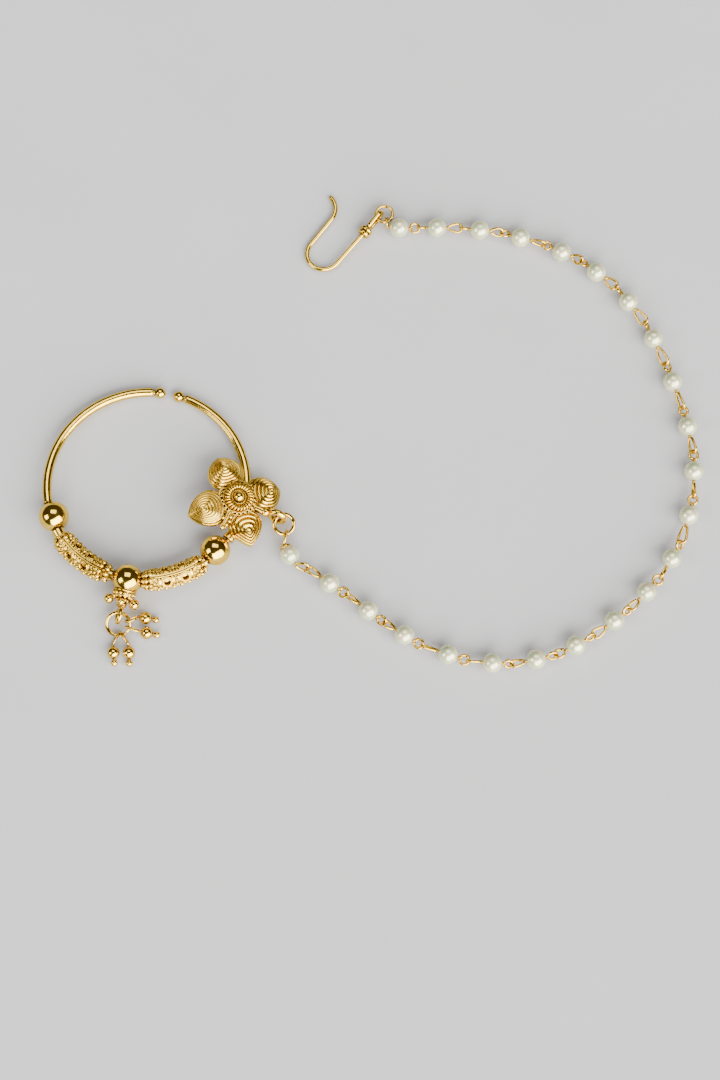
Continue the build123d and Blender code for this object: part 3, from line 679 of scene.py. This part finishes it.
class NATH_OT_pierced_beads(bpy.types.Operator):
    """Pierce the two long beads and lay wire, ridges and granules on them"""

    bl_idname = "nath.pierced_beads"
    bl_label = "Pierced Beads"

    # wall of the body, and diameter of the collar that runs through it
    WALL = 0.4
    COLLAR = 2.5
    ROWS = 4
    # rings of wire round each hole: sunk below the skin, reach past the hole, wire
    HOLE_RINGS = [(0.02, 0.2, 0.36), (0.12, 0.42, 0.26)]
    # granules before, between and after the holes of a row
    ROW_GRANULES = (0.62, 0.78, 0.62)
    # the small ones on both sides of each: diameter, angle round the wire, share of its place along the row
    SMALL_GRANULE = 0.4
    SMALL_SPREAD = 0.26
    SMALL_PLACE = 0.97
    # ridges of wire between the rows: degrees to both sides, rise over the skin, wire
    RIDGES = (6.5, 0.08, 0.36)
    # rows of granules along the body: how many, how many fill half the body, rise over the skin, diameter
    SPINE = (6, 3.4, 0.12, 1.0)
    EDGE = (15, 7.6, 0.02, 0.56)
    EDGE_SPREAD = 17.0
    # ring of wire round each end of the body: sunk below the skin, wire
    END_RING = (0.15, 0.45)
    # hoop degrees from the start and from the end of each bead to its body
    COLLARS = {"left": (7.6, 7.2), "right": (4.2, 4.7)}
    # rings of granules: hoop degrees from the bead's middle, radius, how many, diameter
    BODY_RINGS = [(-14, 1.85, 10, 1.0), (-12, 1.85, 13, 0.75), (12, 1.85, 13, 0.75), (14, 1.85, 10, 1.0)]
    GRANULE_RINGS = {
        "left": [(-16.2, 1.6, 9, 0.85), *BODY_RINGS, (17.8, 1.45, 8, 1.1)],
        "right": [(-18.2, 1.2, 7, 0.95), (-16.4, 1.5, 8, 1.15), *BODY_RINGS, (16.4, 1.5, 8, 0.95)],
    }

    def execute(self, context):
        for side in ("left", "right"):
            self.make(f"pierced_bead_{side}", side, context.scene.nath_hoop)
        return {"FINISHED"}

    def make(self, node, side, sizes):
        gold = finish_named("worked_gold")
        first, last = hoop_span(node)
        before, after = (radians(value) for value in self.COLLARS[side])
        turned = HOOP @ spin((first + before + last - after) / 2)
        half, radius = sizes.bead_span / 2, sizes.bead / 2
        body, frames = self.pierced(sizes, half, radius)
        finished(place(body, turned), f"{node}_tube", gold, node, smooth=35)
        relief = joined(frames + self.ridges(half, radius))
        finished(place(relief, turned), f"{node}_relief", gold, node)
        ends = joined(self.ends(side, half, radius))
        finished(place(ends, turned), f"{node}_granules", gold, node)
        collar = capped(bent(HOOP, HOOP_RADIUS, self.COLLAR, first, last))
        finished(collar, f"{node}_collar", gold, node)

    def pierced(self, sizes, half, radius):
        """Body with its rows of holes, and apart from it the wire and granules round them."""
        body = bent(Matrix.Identity(4), HOOP_RADIUS, sizes.bead, -half, half, sides=64, step=radians(1))
        modified(body, "SOLIDIFY", thickness=self.WALL, offset=-1.0)
        frames = []
        cutters = []
        for row in range(self.ROWS):
            around = radians(360 / self.ROWS * (row + 0.5))
            for way in (-1, 1):
                spot = beside_wire(way * sizes.hole_step / 2, around, radius)
                bpy.ops.mesh.primitive_cylinder_add(vertices=24, radius=sizes.hole / 2, depth=4 * self.WALL)
                cutters.append(place(bpy.context.object, spot))
                for sunk, reach, thick in self.HOLE_RINGS:
                    frames.append(ring(spot @ move(z=-sunk), sizes.hole / 2 + reach, thick, 24, 8))
            for step, size in zip((-1, 0, 1), self.ROW_GRANULES):
                spot = beside_wire(step * sizes.hole_step, around, radius)
                frames.append(granule(spot.translation, size))
                for shift in (-self.SMALL_SPREAD, self.SMALL_SPREAD):
                    spot = beside_wire(step * sizes.hole_step * self.SMALL_PLACE, around + shift, radius)
                    frames.append(granule(spot.translation, self.SMALL_GRANULE))
        cutter = joined(cutters)
        modified(body, "BOOLEAN", object=cutter, solver="EXACT")
        bpy.data.objects.remove(cutter)
        return body, frames

    def ridges(self, half, radius):
        """Pairs of wire ridges between the rows of holes, with granules along them."""
        ridges = []

        def beaded(around, count, per_half, rise, size):
            """Row of granules along the body."""
            for number in range(count):
                turn = half * (number - (count - 1) / 2) / per_half
                ridges.append(granule(beside_wire(turn, radians(around), radius + rise).translation, size))

        spread, rise, thick = self.RIDGES
        for row in range(self.ROWS):
            between = 360 / self.ROWS * row
            for shift in (-spread, spread):
                around = radians(between + shift)
                turns = [half * step / 8 for step in range(-8, 9)]
                path = [beside_wire(turn, around, radius + rise).translation for turn in turns]
                ridges.append(wire(path, thick, steps=3))
            if row % 2:
                beaded(between, *self.SPINE)
            for shift in (-self.EDGE_SPREAD, self.EDGE_SPREAD):
                beaded(between + shift, *self.EDGE)
        return ridges

    def ends(self, side, half, radius):
        """Rings of granules and wire round both ends of the body."""
        ends = []
        for turn, reach, count, size in self.GRANULE_RINGS[side]:
            for number in range(count):
                spot = beside_wire(radians(turn), 2 * pi * (number + 0.5) / count, reach)
                ends.append(granule(spot.translation, size))
        sunk, thick = self.END_RING
        for turn in (-half, half):
            across = spin(turn) @ move(HOOP_RADIUS) @ spin(pi / 2, "X")
            ends.append(ring(across, radius - sunk, thick, 32, 10))
        return ends


# ---- flower ----
class NATH_OT_flower(bpy.types.Operator):
    """Shape the four ridged petals, the coil, the lace of wire round it and the loop at the side"""

    bl_idname = "nath.flower"
    bl_label = "Flower"

    PETAL_ROOT = 2.2
    PETALS = [
        # name, heading in degrees, reach, width, how blunt its tip is from 0 to 1, ridges, focus
        ("upper_left", 115.0, 9.6, 8.2, 0.84, 7, 6.6),
        ("lower_left", 201.0, 10.5, 8.3, 0.72, 8, 7.3),
        ("lower_right", 289.0, 9.9, 7.9, 0.62, 5, 6.9),
        ("upper_right", 16.0, 9.2, 8.4, 0.8, 6, 6.7),
    ]
    # granules where the two lower petals meet: out from the middle, to the side, diameter
    JUNCTION = [(4.2, 0.35, 0.95), (5.1, 0.5, 0.9), (5.0, -0.9, 0.8), (6.0, 0.35, 0.8), (6.9, -0.2, 0.95)]
    # degrees by which a petal hangs down, and its sheet's thickness
    DROOP = 10.0
    SHEET = 0.32
    RIM_HEIGHT = 0.45
    # handles of a petal's outline at its root and its flanks, as shares of its width
    HANDLES = (0.59, 0.61)
    OUTLINE_STEPS = 36
    STEPS_PER_RIDGE = 8
    # powers in a petal's height: ridges crowding to its rim, their roundness, its flat top, its steep edge
    CROWDING, ROUNDNESS, FLAT_TOP, STEEPNESS = 0.94, 0.75, 2.6, 0.8
    # the coil: radius, half its width, height, half its height, wire
    COIL = (2.28, 0.52, 1.9, 0.46, 0.42)
    STEPS_PER_TURN = 8
    # the lace's rim, its loops and the granules between them
    LACE_RIM = {"height": 1.05, "radius": 2.95, "wire": 0.4}
    LACE_LOOP = {"reach": 3.3, "height": 1.15, "tilt": 24.0, "radius": 0.36, "wire": 0.19}
    LACE_GRANULE = {"reach": 3.7, "height": 0.85, "diameter": 0.4}
    # flat rounds below the coil and the ball: radius, depth, height
    BACK, STEP, SEAT = (4.1, 0.9, 0.25), (2.95, 0.6, 0.9), (1.4, 0.9, 1.45)
    # ring round the seat and ball on it: height, and wire or diameter
    SEAT_WIRE = (1.9, 0.36)
    BALL = (2.0, 2.3)
    # tubes on the hoop: diameter, hoop degrees before and after the flower's middle
    TUBES = [(2.5, 8.0, 8.0), (1.8, 19.5, 0.0)]
    # the cone, and hoop degrees from the flower's middle to its wide end
    CONE = {"radius1": 1.3, "radius2": 0.9, "depth": 2.6}
    CONE_START = 23.4
    # length, width and inset of the block between disc and tube
    SADDLE = (3.2, 3.0, 0.9)
    # the soldered loop: heading and dip of its way, how far below the disc it starts, its roll
    LOOP_WAY = (338.0, 6.0)
    LOOP_DROP = 0.3
    LOOP_ROLL = 70.0
    LOOP = {"reach": 8.55, "radius": 1.45, "wire": 1.25}
    # its stalk from reach to reach, the granule's reach, and their diameters
    STALK = (3.6, 6.4, 1.5)
    STALK_GRANULE = (6.1, 1.95)
    JUNCTION_HEADING = 245.0
    JUNCTION_HEIGHT = 0.9
    # rods where the two lower petals meet: both ends in the flower's disc, diameter
    JUNCTION_RODS = [((3.4, -0.5, 0.9), (6.6, -0.3, 0.75), 0.5), ((3.2, 0, 0.5), (6.8, 0, 0.4), 1.2)]

    def execute(self, context):
        sizes = context.scene.nath_flower
        gold = finish_named("worked_gold")
        disc = on_hoop(sizes.angle) @ spin(sizes.roll, "Y")
        disc = disc @ move(-sizes.inset, 0, sizes.lift)
        for name, heading, *shape in self.PETALS:
            petal = self.petal(*shape, sizes)
            turned = disc @ spin(radians(heading) - sizes.angle)
            turned = turned @ spin(radians(self.DROOP), "Y")
            finished(place(petal, turned), f"flower_petal_{name}", gold, "flower")
        finished(place(self.coil(sizes), disc), "flower_coil", finish_named("wire_gold"), "flower")
        finished(place(self.lace(sizes), disc), "flower_lace", gold, "flower")
        finished(place(self.middle(), disc), "flower_middle", finish_named("aged_gold"), "flower")
        self.fittings(sizes, disc)
        return {"FINISHED"}

    def petal(self, reach, width, blunt, ridges, focus, sizes):
        """Domed spade whose ridges nest inside its outline and close on its focus."""
        bpy.ops.curve.primitive_bezier_curve_add()
        obj = bpy.context.object
        spline = obj.data.splines[0]
        root, tip = spline.bezier_points
        for knot in (root, tip):
            knot.handle_left_type = knot.handle_right_type = "FREE"
        flank = self.PETAL_ROOT + blunt * (reach - self.PETAL_ROOT)
        root.co = (self.PETAL_ROOT, 0, 0)
        at_root, at_flank = (share * width for share in self.HANDLES)
        root.handle_left = (self.PETAL_ROOT, -at_root, 0)
        root.handle_right = (self.PETAL_ROOT, at_root, 0)
        tip.co = (reach, 0, 0)
        tip.handle_left = (flank, at_flank, 0)
        tip.handle_right = (flank, -at_flank, 0)
        spline.use_cyclic_u = True
        obj.data.resolution_u = self.OUTLINE_STEPS
        alone(obj)
        bpy.ops.object.convert(target="MESH")
        obj = bpy.context.object
        steps = ridges * self.STEPS_PER_RIDGE
        depth = sizes.ridge_height * width / 2 / ridges
        heights = [self.height(1 - step / steps, ridges, depth, sizes.dome) for step in range(steps + 1)]
        edit(obj)
        bpy.ops.transform.translate(value=(0, 0, heights[0]))
        for step in range(1, steps):
            rise = heights[step] - heights[step - 1]
            bpy.ops.mesh.extrude_edges_move(TRANSFORM_OT_translate={"value": (0, 0, rise)})
            share = (steps - step) / (steps - step + 1)
            bpy.ops.transform.resize(value=(share, share, 1), center_override=(focus, 0, 0))
        bpy.ops.mesh.merge(type="CENTER")
        outwards(edited(obj))
        if sum(face.normal.z for face in obj.data.polygons) < 0:
            obj.data.flip_normals()
        return modified(obj, "SOLIDIFY", thickness=self.SHEET, offset=-1.0)

    def height(self, share, ridges, depth, dome):
        """Height of the petal where its outline is shrunk to share of its size."""
        ridge = abs(sin(pi * ridges * (1 - share) ** self.CROWDING)) ** self.ROUNDNESS
        return self.RIM_HEIGHT + dome * (1 - share**self.FLAT_TOP) ** self.STEEPNESS + depth * ridge

    def coil(self, sizes):
        """Wire coiled round in a ring, its turns standing like teeth."""
        radius, half_width, height, half_height, thick = self.COIL
        points = []
        steps = sizes.coil_turns * self.STEPS_PER_TURN
        for step in range(steps):
            turn = 2 * pi * step / steps
            wound = 2 * pi * step / self.STEPS_PER_TURN
            reach = radius + half_width * cos(wound)
            points.append((reach * cos(turn), reach * sin(turn), height + half_height * sin(wound)))
        return wire(points, thick, closed=True, steps=2)

    def lace(self, sizes):
        """Round of small wire loops with a granule between each pair, outside a rim."""
        rim, loop, grain = self.LACE_RIM, self.LACE_LOOP, self.LACE_GRANULE
        pieces = [ring(move(z=rim["height"]), rim["radius"], rim["wire"], 56, 10)]
        tilt = spin(radians(loop["tilt"]), "Y")
        for number in range(sizes.scallops):
            turned = spin(2 * pi * number / sizes.scallops)
            spot = turned @ move(loop["reach"], 0, loop["height"])
            pieces.append(ring(spot @ tilt, loop["radius"], loop["wire"], 18, 8))
            between = spin(2 * pi * (number + 0.5) / sizes.scallops)
            spot = between @ Vector((grain["reach"], 0, grain["height"]))
            pieces.append(granule(spot, grain["diameter"]))
        return joined(pieces)

    def middle(self):
        """Back disc, ringed seat and polished ball."""
        disc = eased(drum(*self.BACK), 0.2, 40, segments=3)
        step = eased(drum(*self.STEP), 0.15, 40, segments=3)
        height, thick = self.SEAT_WIRE
        seat = ring(move(z=height), self.SEAT[0], thick, 48, 12)
        height, diameter = self.BALL
        return joined([disc, step, seat, drum(*self.SEAT), ball((0, 0, height), diameter, 40)])

    def fittings(self, sizes, disc):
        """Tube, cone and granules that hold the flower on the hoop, and the loop soldered to its side."""
        pieces = []
        for diameter, before, after in self.TUBES:
            start, end = sizes.angle - radians(before), sizes.angle + radians(after)
            pieces.append(capped(bent(HOOP, HOOP_RADIUS, diameter, start, end)))
        start = on_hoop(sizes.angle - radians(self.CONE_START)).translation
        ahead = on_hoop(sizes.angle - radians(self.CONE_START - 1)).translation - start
        bpy.ops.mesh.primitive_cone_add(vertices=40, **self.CONE)
        cone = place(bpy.context.object, move(z=self.CONE["depth"] / 2))
        pieces.append(eased(place(cone, along(start, ahead)), 0.12, 50, segments=3))
        bpy.ops.mesh.primitive_cube_add(size=1)
        saddle = bpy.context.object
        length, width, inset = self.SADDLE
        saddle.scale = (length, width, sizes.lift)
        under = disc @ move(sizes.inset - inset, 0, -sizes.lift / 2)
        place(saddle, under @ saddle.matrix_world)
        pieces.append(modified(saddle, "BEVEL", width=0.3, segments=3))
        pieces += self.side_loop(disc.translation - Vector((0, 0, self.LOOP_DROP)))
        lower = disc @ spin(radians(self.JUNCTION_HEADING) - sizes.angle)
        for reach, across, size in self.JUNCTION:
            pieces.append(granule(lower @ Vector((reach, across, self.JUNCTION_HEIGHT)), size))
        for start, end, diameter in self.JUNCTION_RODS:
            pieces.append(straight(lower @ Vector(start), lower @ Vector(end), diameter))
        finished(joined(pieces), "flower_fittings", finish_named("aged_gold"), "flower")

    def side_loop(self, middle):
        """Loop soldered to the flower's side, with its stalk and granule."""
        way = compass(*self.LOOP_WAY)
        side = Vector((0, 0, 1)).cross(way).normalized()
        roll = radians(self.LOOP_ROLL)
        normal = way.cross(side) * cos(roll) - side * sin(roll)
        flat = matrix_of(middle + way * self.LOOP["reach"], way, normal)
        loop = ring(flat, self.LOOP["radius"], self.LOOP["wire"], 48, 20)
        near, far, diameter = self.STALK
        stalk = straight(middle + way * near, middle + way * far, diameter)
        reach, size = self.STALK_GRANULE
        return [loop, stalk, ball(middle + way * reach, size)]


# ---- rings ----
# gap between a ring's snipped ends, mm, and as shares of its wire how far they pass and their burr
CUT_GAP = 0.18
CUT_OFFSET = 0.25
CUT_LIP = 0.08


def snipped_ring(node, wire_size, name):
    """Jump ring in its node's place, with bare faces where it was cut."""
    points = node_points(node)
    matrix, radius = ring_matrix(node)
    local = (points - np.array(matrix.translation)) @ np.array(matrix.to_3x3())
    angles = np.sort(np.arctan2(local[:, 1], local[:, 0]))
    gaps = np.diff(np.append(angles, angles[0] + 2 * pi))
    widest = int(gaps.argmax())
    start, end = angles[widest] + gaps[widest], angles[widest] + 2 * pi
    closer = (gaps[widest] - CUT_GAP / radius) / 2
    span = start - closer, end + closer
    hoop = bent(Matrix.Identity(4), radius, wire_size, *span, sides=24, step=radians(5))
    middle = (start + end) / 2
    for point in hoop.data.vertices:
        turn = (np.arctan2(point.co.y, point.co.x) - middle + pi) % (2 * pi) - pi
        point.co.z += wire_size * CUT_OFFSET * (turn / pi) ** 5
    capped(hoop)
    eased(hoop, wire_size * CUT_LIP, 60)
    gold, raw = finish_named("aged_gold"), finish_named("raw_cut")
    hoop.data.materials.append(gold)
    hoop.data.materials.append(raw)
    end_area = pi * (wire_size / 2) ** 2
    for face in hoop.data.polygons:
        face.material_index = int(face.area > 0.4 * end_area)
    return finished(place(hoop, matrix), name, gold, node)


class NATH_OT_rings(bpy.types.Operator):
    """Bend the jump rings of the hook, the flower and the drops, each with its snipped ends"""

    bl_idname = "nath.rings"
    bl_label = "Jump Rings"

    # frame node and the ring's wire, mm
    RINGS = [("hook_jump_ring", 0.65), ("flower_jump_ring", 0.8), ("drop_ring", 0.7)]

    def execute(self, context):
        for node, wire_size in self.RINGS:
            snipped_ring(node, wire_size, f"{node}_cut")
        return {"FINISHED"}


# ---- wire pins ----
def loose_parts(node):
    """Points and edges of each separate solid of a node, in millimetres."""
    obj = copy_of(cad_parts[node])
    obj.parent = None
    edit(obj)
    bpy.ops.mesh.remove_doubles(threshold=0.000001)
    bpy.ops.mesh.separate(type="LOOSE")
    edited(obj)
    parts = []
    for part in list(bpy.context.selected_objects):
        points = np.array([point.co[:] for point in part.data.vertices]) / METRES
        edges = np.array([edge.vertices[:] for edge in part.data.edges])
        parts.append((points, edges))
        bpy.data.objects.remove(part)
    return parts


def stem_of(points, edges, bead):
    """Middle and way of the straight wire through a bead: the only edges about as long as the bead."""
    spans = points[edges[:, 1]] - points[edges[:, 0]]
    long_ones = np.linalg.norm(spans, axis=1) > bead * 0.9
    spans = spans[long_ones]
    spans *= np.sign(spans @ spans[0])[:, None]
    way = Vector(spans.mean(axis=0)).normalized()
    ends = points[edges[long_ones]]
    return Vector(ends.reshape(-1, 3).mean(axis=0)), way


def loop_of(points, root, way, wire_size):
    """Way, side, normal, length and half width of the loop that starts at root and leads away along way."""
    beyond = points[(points - np.array(root)) @ np.array(way) > -0.05]
    out = (Vector(beyond.mean(axis=0)) - root).normalized()
    normal = thin_axis(beyond)
    out = (out - normal * out.dot(normal)).normalized()
    side = normal.cross(out)
    reach = (beyond - np.array(root)) @ np.array(out)
    spread = (beyond - np.array(root)) @ np.array(side)
    length = reach.max() - wire_size / 2
    return out, side, normal, length, np.abs(spread).max() - wire_size / 2


# where an eye's wire leaves its stem and comes back to it, as shares of the radius there: back, aside
EYE_START = (0.75, 0.62)
EYE_NECK = 0.6
EYE_END = (0.72, 0.66)
# how far the wire's end lies above its start, mm
EYE_LIFT = 0.06
# steepest sides and points round the bow of an eye
EYE_LEAN = 0.9
EYE_STEPS = 8


def eye_path(root, loop, root_radius, tail):
    """Line of a turned eye: from the stem, round the loop, and back beside the stem."""
    out, side, normal, length, half = loop
    half = min(half, length / 2)
    narrow = min(root_radius, half * 0.8)
    lean = min((half - narrow) / max(length - half - narrow, 0.05), EYE_LEAN)
    level = (1 - lean * lean) ** 0.5
    far, near = length - half, narrow
    start, end = pi / 2 + np.arcsin(lean), -pi / 2 - np.arcsin(lean)
    neck = near - narrow * lean * EYE_NECK
    local = [(-tail, 0.0, 0.0), (-0.05, 0.0, 0.0)]
    local.append((near - narrow * EYE_START[0], narrow * EYE_START[1], 0.0))
    local.append((neck, narrow * level, 0.0))
    for step in range(EYE_STEPS + 1):
        angle = start + (end - start) * step / EYE_STEPS
        local.append((far + half * cos(angle), half * sin(angle), 0.0))
    local.append((neck, -narrow * level, EYE_LIFT / 2))
    local.append((near - narrow * EYE_END[0], -narrow * EYE_END[1], EYE_LIFT))
    return [root + out * x + side * y + normal * z for x, y, z in local]


class NATH_OT_pearls(bpy.types.Operator):
    """Thread each pearl on its wire pin and turn the pin's eyes"""

    bl_idname = "nath.pearls"
    bl_label = "Pearls and Pins"

    PEARL = 4.0
    BORE = 0.64
    WIRE = 0.55
    # from the pearl's middle to the root of each eye, and how far the stem reaches past it
    ROOT = 2.36
    STEM_PAST = 0.1
    # radius at the eye's root, and the straight wire before it
    EYE = (0.5, 0.2)
    WRAP = {"radius": 0.28, "wire": 0.24}
    # the pearl next to the flower, on whose pin the spare wire is wound: reach and radius of each turn, wire
    WOUND = "pearl_23"
    WOUND_TURNS = [(1.82, 1.02), (2.08, 0.62)]
    WOUND_WIRE = 0.44
    # how uneven a pearl is: waves over it, waves a millimetre, height as a share of its radius
    WAVES = (5, 0.9, 0.003)

    def execute(self, context):
        nacre = finish_named("pearl_nacre")
        names = [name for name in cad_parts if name.startswith("pearl_")]
        pearl = self.drilled_pearl()
        picks = random.Random(7)
        wires = []
        for points, edges in loose_parts("eye_pins"):
            centre, way = stem_of(points, edges, self.PEARL)
            name = min(names, key=lambda name: (node_middle(name) - centre).length)
            names.remove(name)
            spun = along(centre, way) @ spin(picks.uniform(0, 2 * pi))
            finished(place(copy_of(pearl), spun), f"{name}_nacre", nacre, name, slot="pearl")
            stem = way * (self.ROOT + self.STEM_PAST)
            wires.append(straight(centre - stem, centre + stem, self.WIRE))
            for ahead in (way, -way):
                root = centre + ahead * self.ROOT
                loop = loop_of(points, root, ahead, self.WIRE)
                wires.append(wire(eye_path(root, loop, *self.EYE), self.WIRE, steps=4))
                spot = along(root - ahead * self.STEM_PAST, ahead)
                wires.append(ring(spot, **self.WRAP, turns=16, sides=8))
            if name == self.WOUND:
                held = node_middle("flower_jump_ring") - centre
                up = min(way, -way, key=lambda side: (held - side).length)
                for reach, radius in self.WOUND_TURNS:
                    wires.append(ring(along(centre + up * reach, up), radius, self.WOUND_WIRE, 32, 10))
        if names:
            raise RuntimeError(f"no pin passes through {names}")
        bpy.data.objects.remove(pearl)
        finished(joined(wires), "pearl_pins", finish_named("wire_gold"), "eye_pins", slot="chain_wire")
        return {"FINISHED"}

    def drilled_pearl(self):
        """Slightly uneven pearl with a chamfered bore."""
        pearl = hollow_ball((0, 0, 0), (0, 0, 1), self.PEARL, self.BORE, segments=40)
        picks = random.Random(3)
        count, pace, height = self.WAVES
        waves = []
        for wave in range(count):
            way = Vector([picks.gauss(0, 1) for axis in range(3)])
            waves.append((way, picks.uniform(0, 2 * pi)))
        for point in pearl.data.vertices:
            swell = sum(sin(point.co.dot(way) * pace + start) for way, start in waves)
            point.co *= 1 + height * swell
        return pearl


# ---- drops ----
class NATH_OT_drops(bpy.types.Operator):
    """Thread the four small drops, each an eye, a bead and a ball head"""

    bl_idname = "nath.drops"
    bl_label = "Drops"

    BEAD = 2.5
    BORE = 0.6
    WIRE = 0.42
    HEAD = 1.4
    HEAD_GAP = 0.1
    ROOT_GAP = 0.35
    STEM_PAST = 0.1
    # radius at the eye's root, and the straight wire before it
    EYE = (0.6, 0.15)
    WRAP = {"radius": 0.24, "wire": 0.26}

    def execute(self, context):
        gold = finish_named("aged_gold")
        for number in range(1, 5):
            pin = f"drop_pin_{number}"
            ((points, edges),) = loose_parts(pin)
            bead = node_middle(f"drop_bead_{number}")
            way = stem_of(points, edges, self.BEAD)[1]
            if way.dot(bead - node_middle(pin)) < 0:
                way = -way
            head = bead + way * (self.BEAD / 2 + self.HEAD / 2 + self.HEAD_GAP)
            root = bead - way * (self.BEAD / 2 + self.ROOT_GAP)
            loop = loop_of(points, root, -way, self.WIRE)
            past = way * self.STEM_PAST
            pieces = [straight(root - past, head, self.WIRE), ball(head, self.HEAD)]
            pieces.append(wire(eye_path(root, loop, *self.EYE), self.WIRE, steps=4))
            pieces.append(ring(along(root + past, way), **self.WRAP, turns=20, sides=8))
            finished(joined(pieces), f"{pin}_wire", gold, pin)
            shell = hollow_ball(bead, way, self.BEAD, self.BORE, segments=36)
            finished(shell, f"drop_bead_{number}_shell", gold, f"drop_bead_{number}")
        return {"FINISHED"}


# ---- hair hook ----
class NATH_OT_hook(bpy.types.Operator):
    """Finish the hair hook's wire"""

    bl_idname = "nath.hook"
    bl_label = "Hair Hook"

    def execute(self, context):
        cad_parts["hair_hook"].data.materials[0] = finish_named("aged_gold")
        return {"FINISHED"}


# ---- stage ----
class NATH_OT_stage(bpy.types.Operator):
    """Lay the pale floor and set the camera and the soft lights"""

    bl_idname = "nath.stage"
    bl_label = "Stage"

    # what the camera and the lamps point at, metres
    AIM = Vector((-0.0025, -0.0233, 0.0))
    # The lamps are large and stand far off, so that the floor is lit as far out as a low view shows it:
    # name, azimuth, elevation, distance, width, height, watts
    LIGHTS = [
        ("window", 30.0, 31.0, 10.0, 17.0, 10.0, 7200.0),
        ("sky", 172.0, 68.0, 12.0, 8.4, 6.0, 680.0),
        ("side", -72.0, 36.0, 12.0, 4.8, 6.0, 800.0),
    ]
    FLOOR_SIZE = 80.0
    LENS = 75.0
    # colour and strength of what the dim room gives back
    ROOM = ((1.0, 0.84, 0.66, 1.0), 0.08)

    def execute(self, context):
        stage = context.scene.nath_stage
        bpy.ops.mesh.primitive_plane_add(size=self.FLOOR_SIZE)
        floor = bpy.context.object
        floor.name = "floor"
        finish = Finish("pale_floor")
        tone = finish.spread(finish.noise(30.0, detail=3), 0.3, 0.7)
        body = finish.mix(tone, stage.floor[:], [value * 0.97 for value in stage.floor])
        floor.data.materials.append(finish.use(Base_Color=body, Roughness=0.75))
        camera = bpy.data.objects.new("camera", bpy.data.cameras.new("camera"))
        context.scene.collection.objects.link(camera)
        camera.data.lens = self.LENS
        camera.data.clip_start = 0.01
        back = Vector((0, -cos(stage.elevation), sin(stage.elevation)))
        camera.location = self.AIM + back * stage.distance
        camera.rotation_euler = (-back).to_track_quat("-Z", "Y").to_euler()
        context.scene.camera = camera
        for row in self.LIGHTS:
            self.light(context, *row)
        world = bpy.data.worlds.new("dim_room")
        world.use_nodes = True
        glow = world.node_tree.nodes["Background"].inputs
        glow["Color"].default_value, glow["Strength"].default_value = self.ROOM
        context.scene.world = world
        return {"FINISHED"}

    def light(self, context, name, azimuth, elevation, distance, width, height, watts):
        lamp = bpy.data.lights.new(name, "AREA")
        lamp.shape = "RECTANGLE"
        lamp.size, lamp.size_y, lamp.energy = width, height, watts
        obj = bpy.data.objects.new(name, lamp)
        context.scene.collection.objects.link(obj)
        way = compass(azimuth - 90, -elevation)
        obj.location = self.AIM + way * distance
        obj.rotation_euler = (-way).to_track_quat("-Z", "Y").to_euler()


# ---- panel ----
OPERATORS = (
    NATH_OT_hoop,
    NATH_OT_balls,
    NATH_OT_pierced_beads,
    NATH_OT_flower,
    NATH_OT_rings,
    NATH_OT_pearls,
    NATH_OT_drops,
    NATH_OT_hook,
    NATH_OT_stage,
)
SETTINGS = {
    "nath_finish": NathFinish,
    "nath_hoop": NathHoop,
    "nath_flower": NathFlower,
    "nath_stage": NathStage,
}


class NATH_PT_dresser(bpy.types.Panel):
    """The pieces of the nose ring, in the order in which they are made"""

    bl_idname = "NATH_PT_dresser"
    bl_label = "Nath"
    bl_space_type = "VIEW_3D"
    bl_region_type = "UI"
    bl_category = "Nath"

    def draw(self, context):
        for name, group in SETTINGS.items():
            box = self.layout.box()
            box.label(text=name.removeprefix("nath_").title())
            for key in group.__annotations__:
                box.prop(getattr(context.scene, name), key)
        for operator in OPERATORS:
            self.layout.operator(operator.bl_idname)


def register():
    for group in SETTINGS.values():
        bpy.utils.register_class(group)
    for operator in OPERATORS:
        bpy.utils.register_class(operator)
    bpy.utils.register_class(NATH_PT_dresser)
    for name, group in SETTINGS.items():
        setattr(bpy.types.Scene, name, bpy.props.PointerProperty(type=group))


def unregister():
    for name in SETTINGS:
        delattr(bpy.types.Scene, name)
    bpy.utils.unregister_class(NATH_PT_dresser)
    for operator in reversed(OPERATORS):
        bpy.utils.unregister_class(operator)
    for group in reversed(SETTINGS.values()):
        bpy.utils.unregister_class(group)


def main():
    register()
    bpy.ops.nath.hoop()
    bpy.ops.nath.balls()
    bpy.ops.nath.pierced_beads()
    bpy.ops.nath.flower()
    bpy.ops.nath.rings()
    bpy.ops.nath.pearls()
    bpy.ops.nath.drops()
    bpy.ops.nath.hook()
    bpy.ops.nath.stage()


if __name__ == "__main__":
    main()
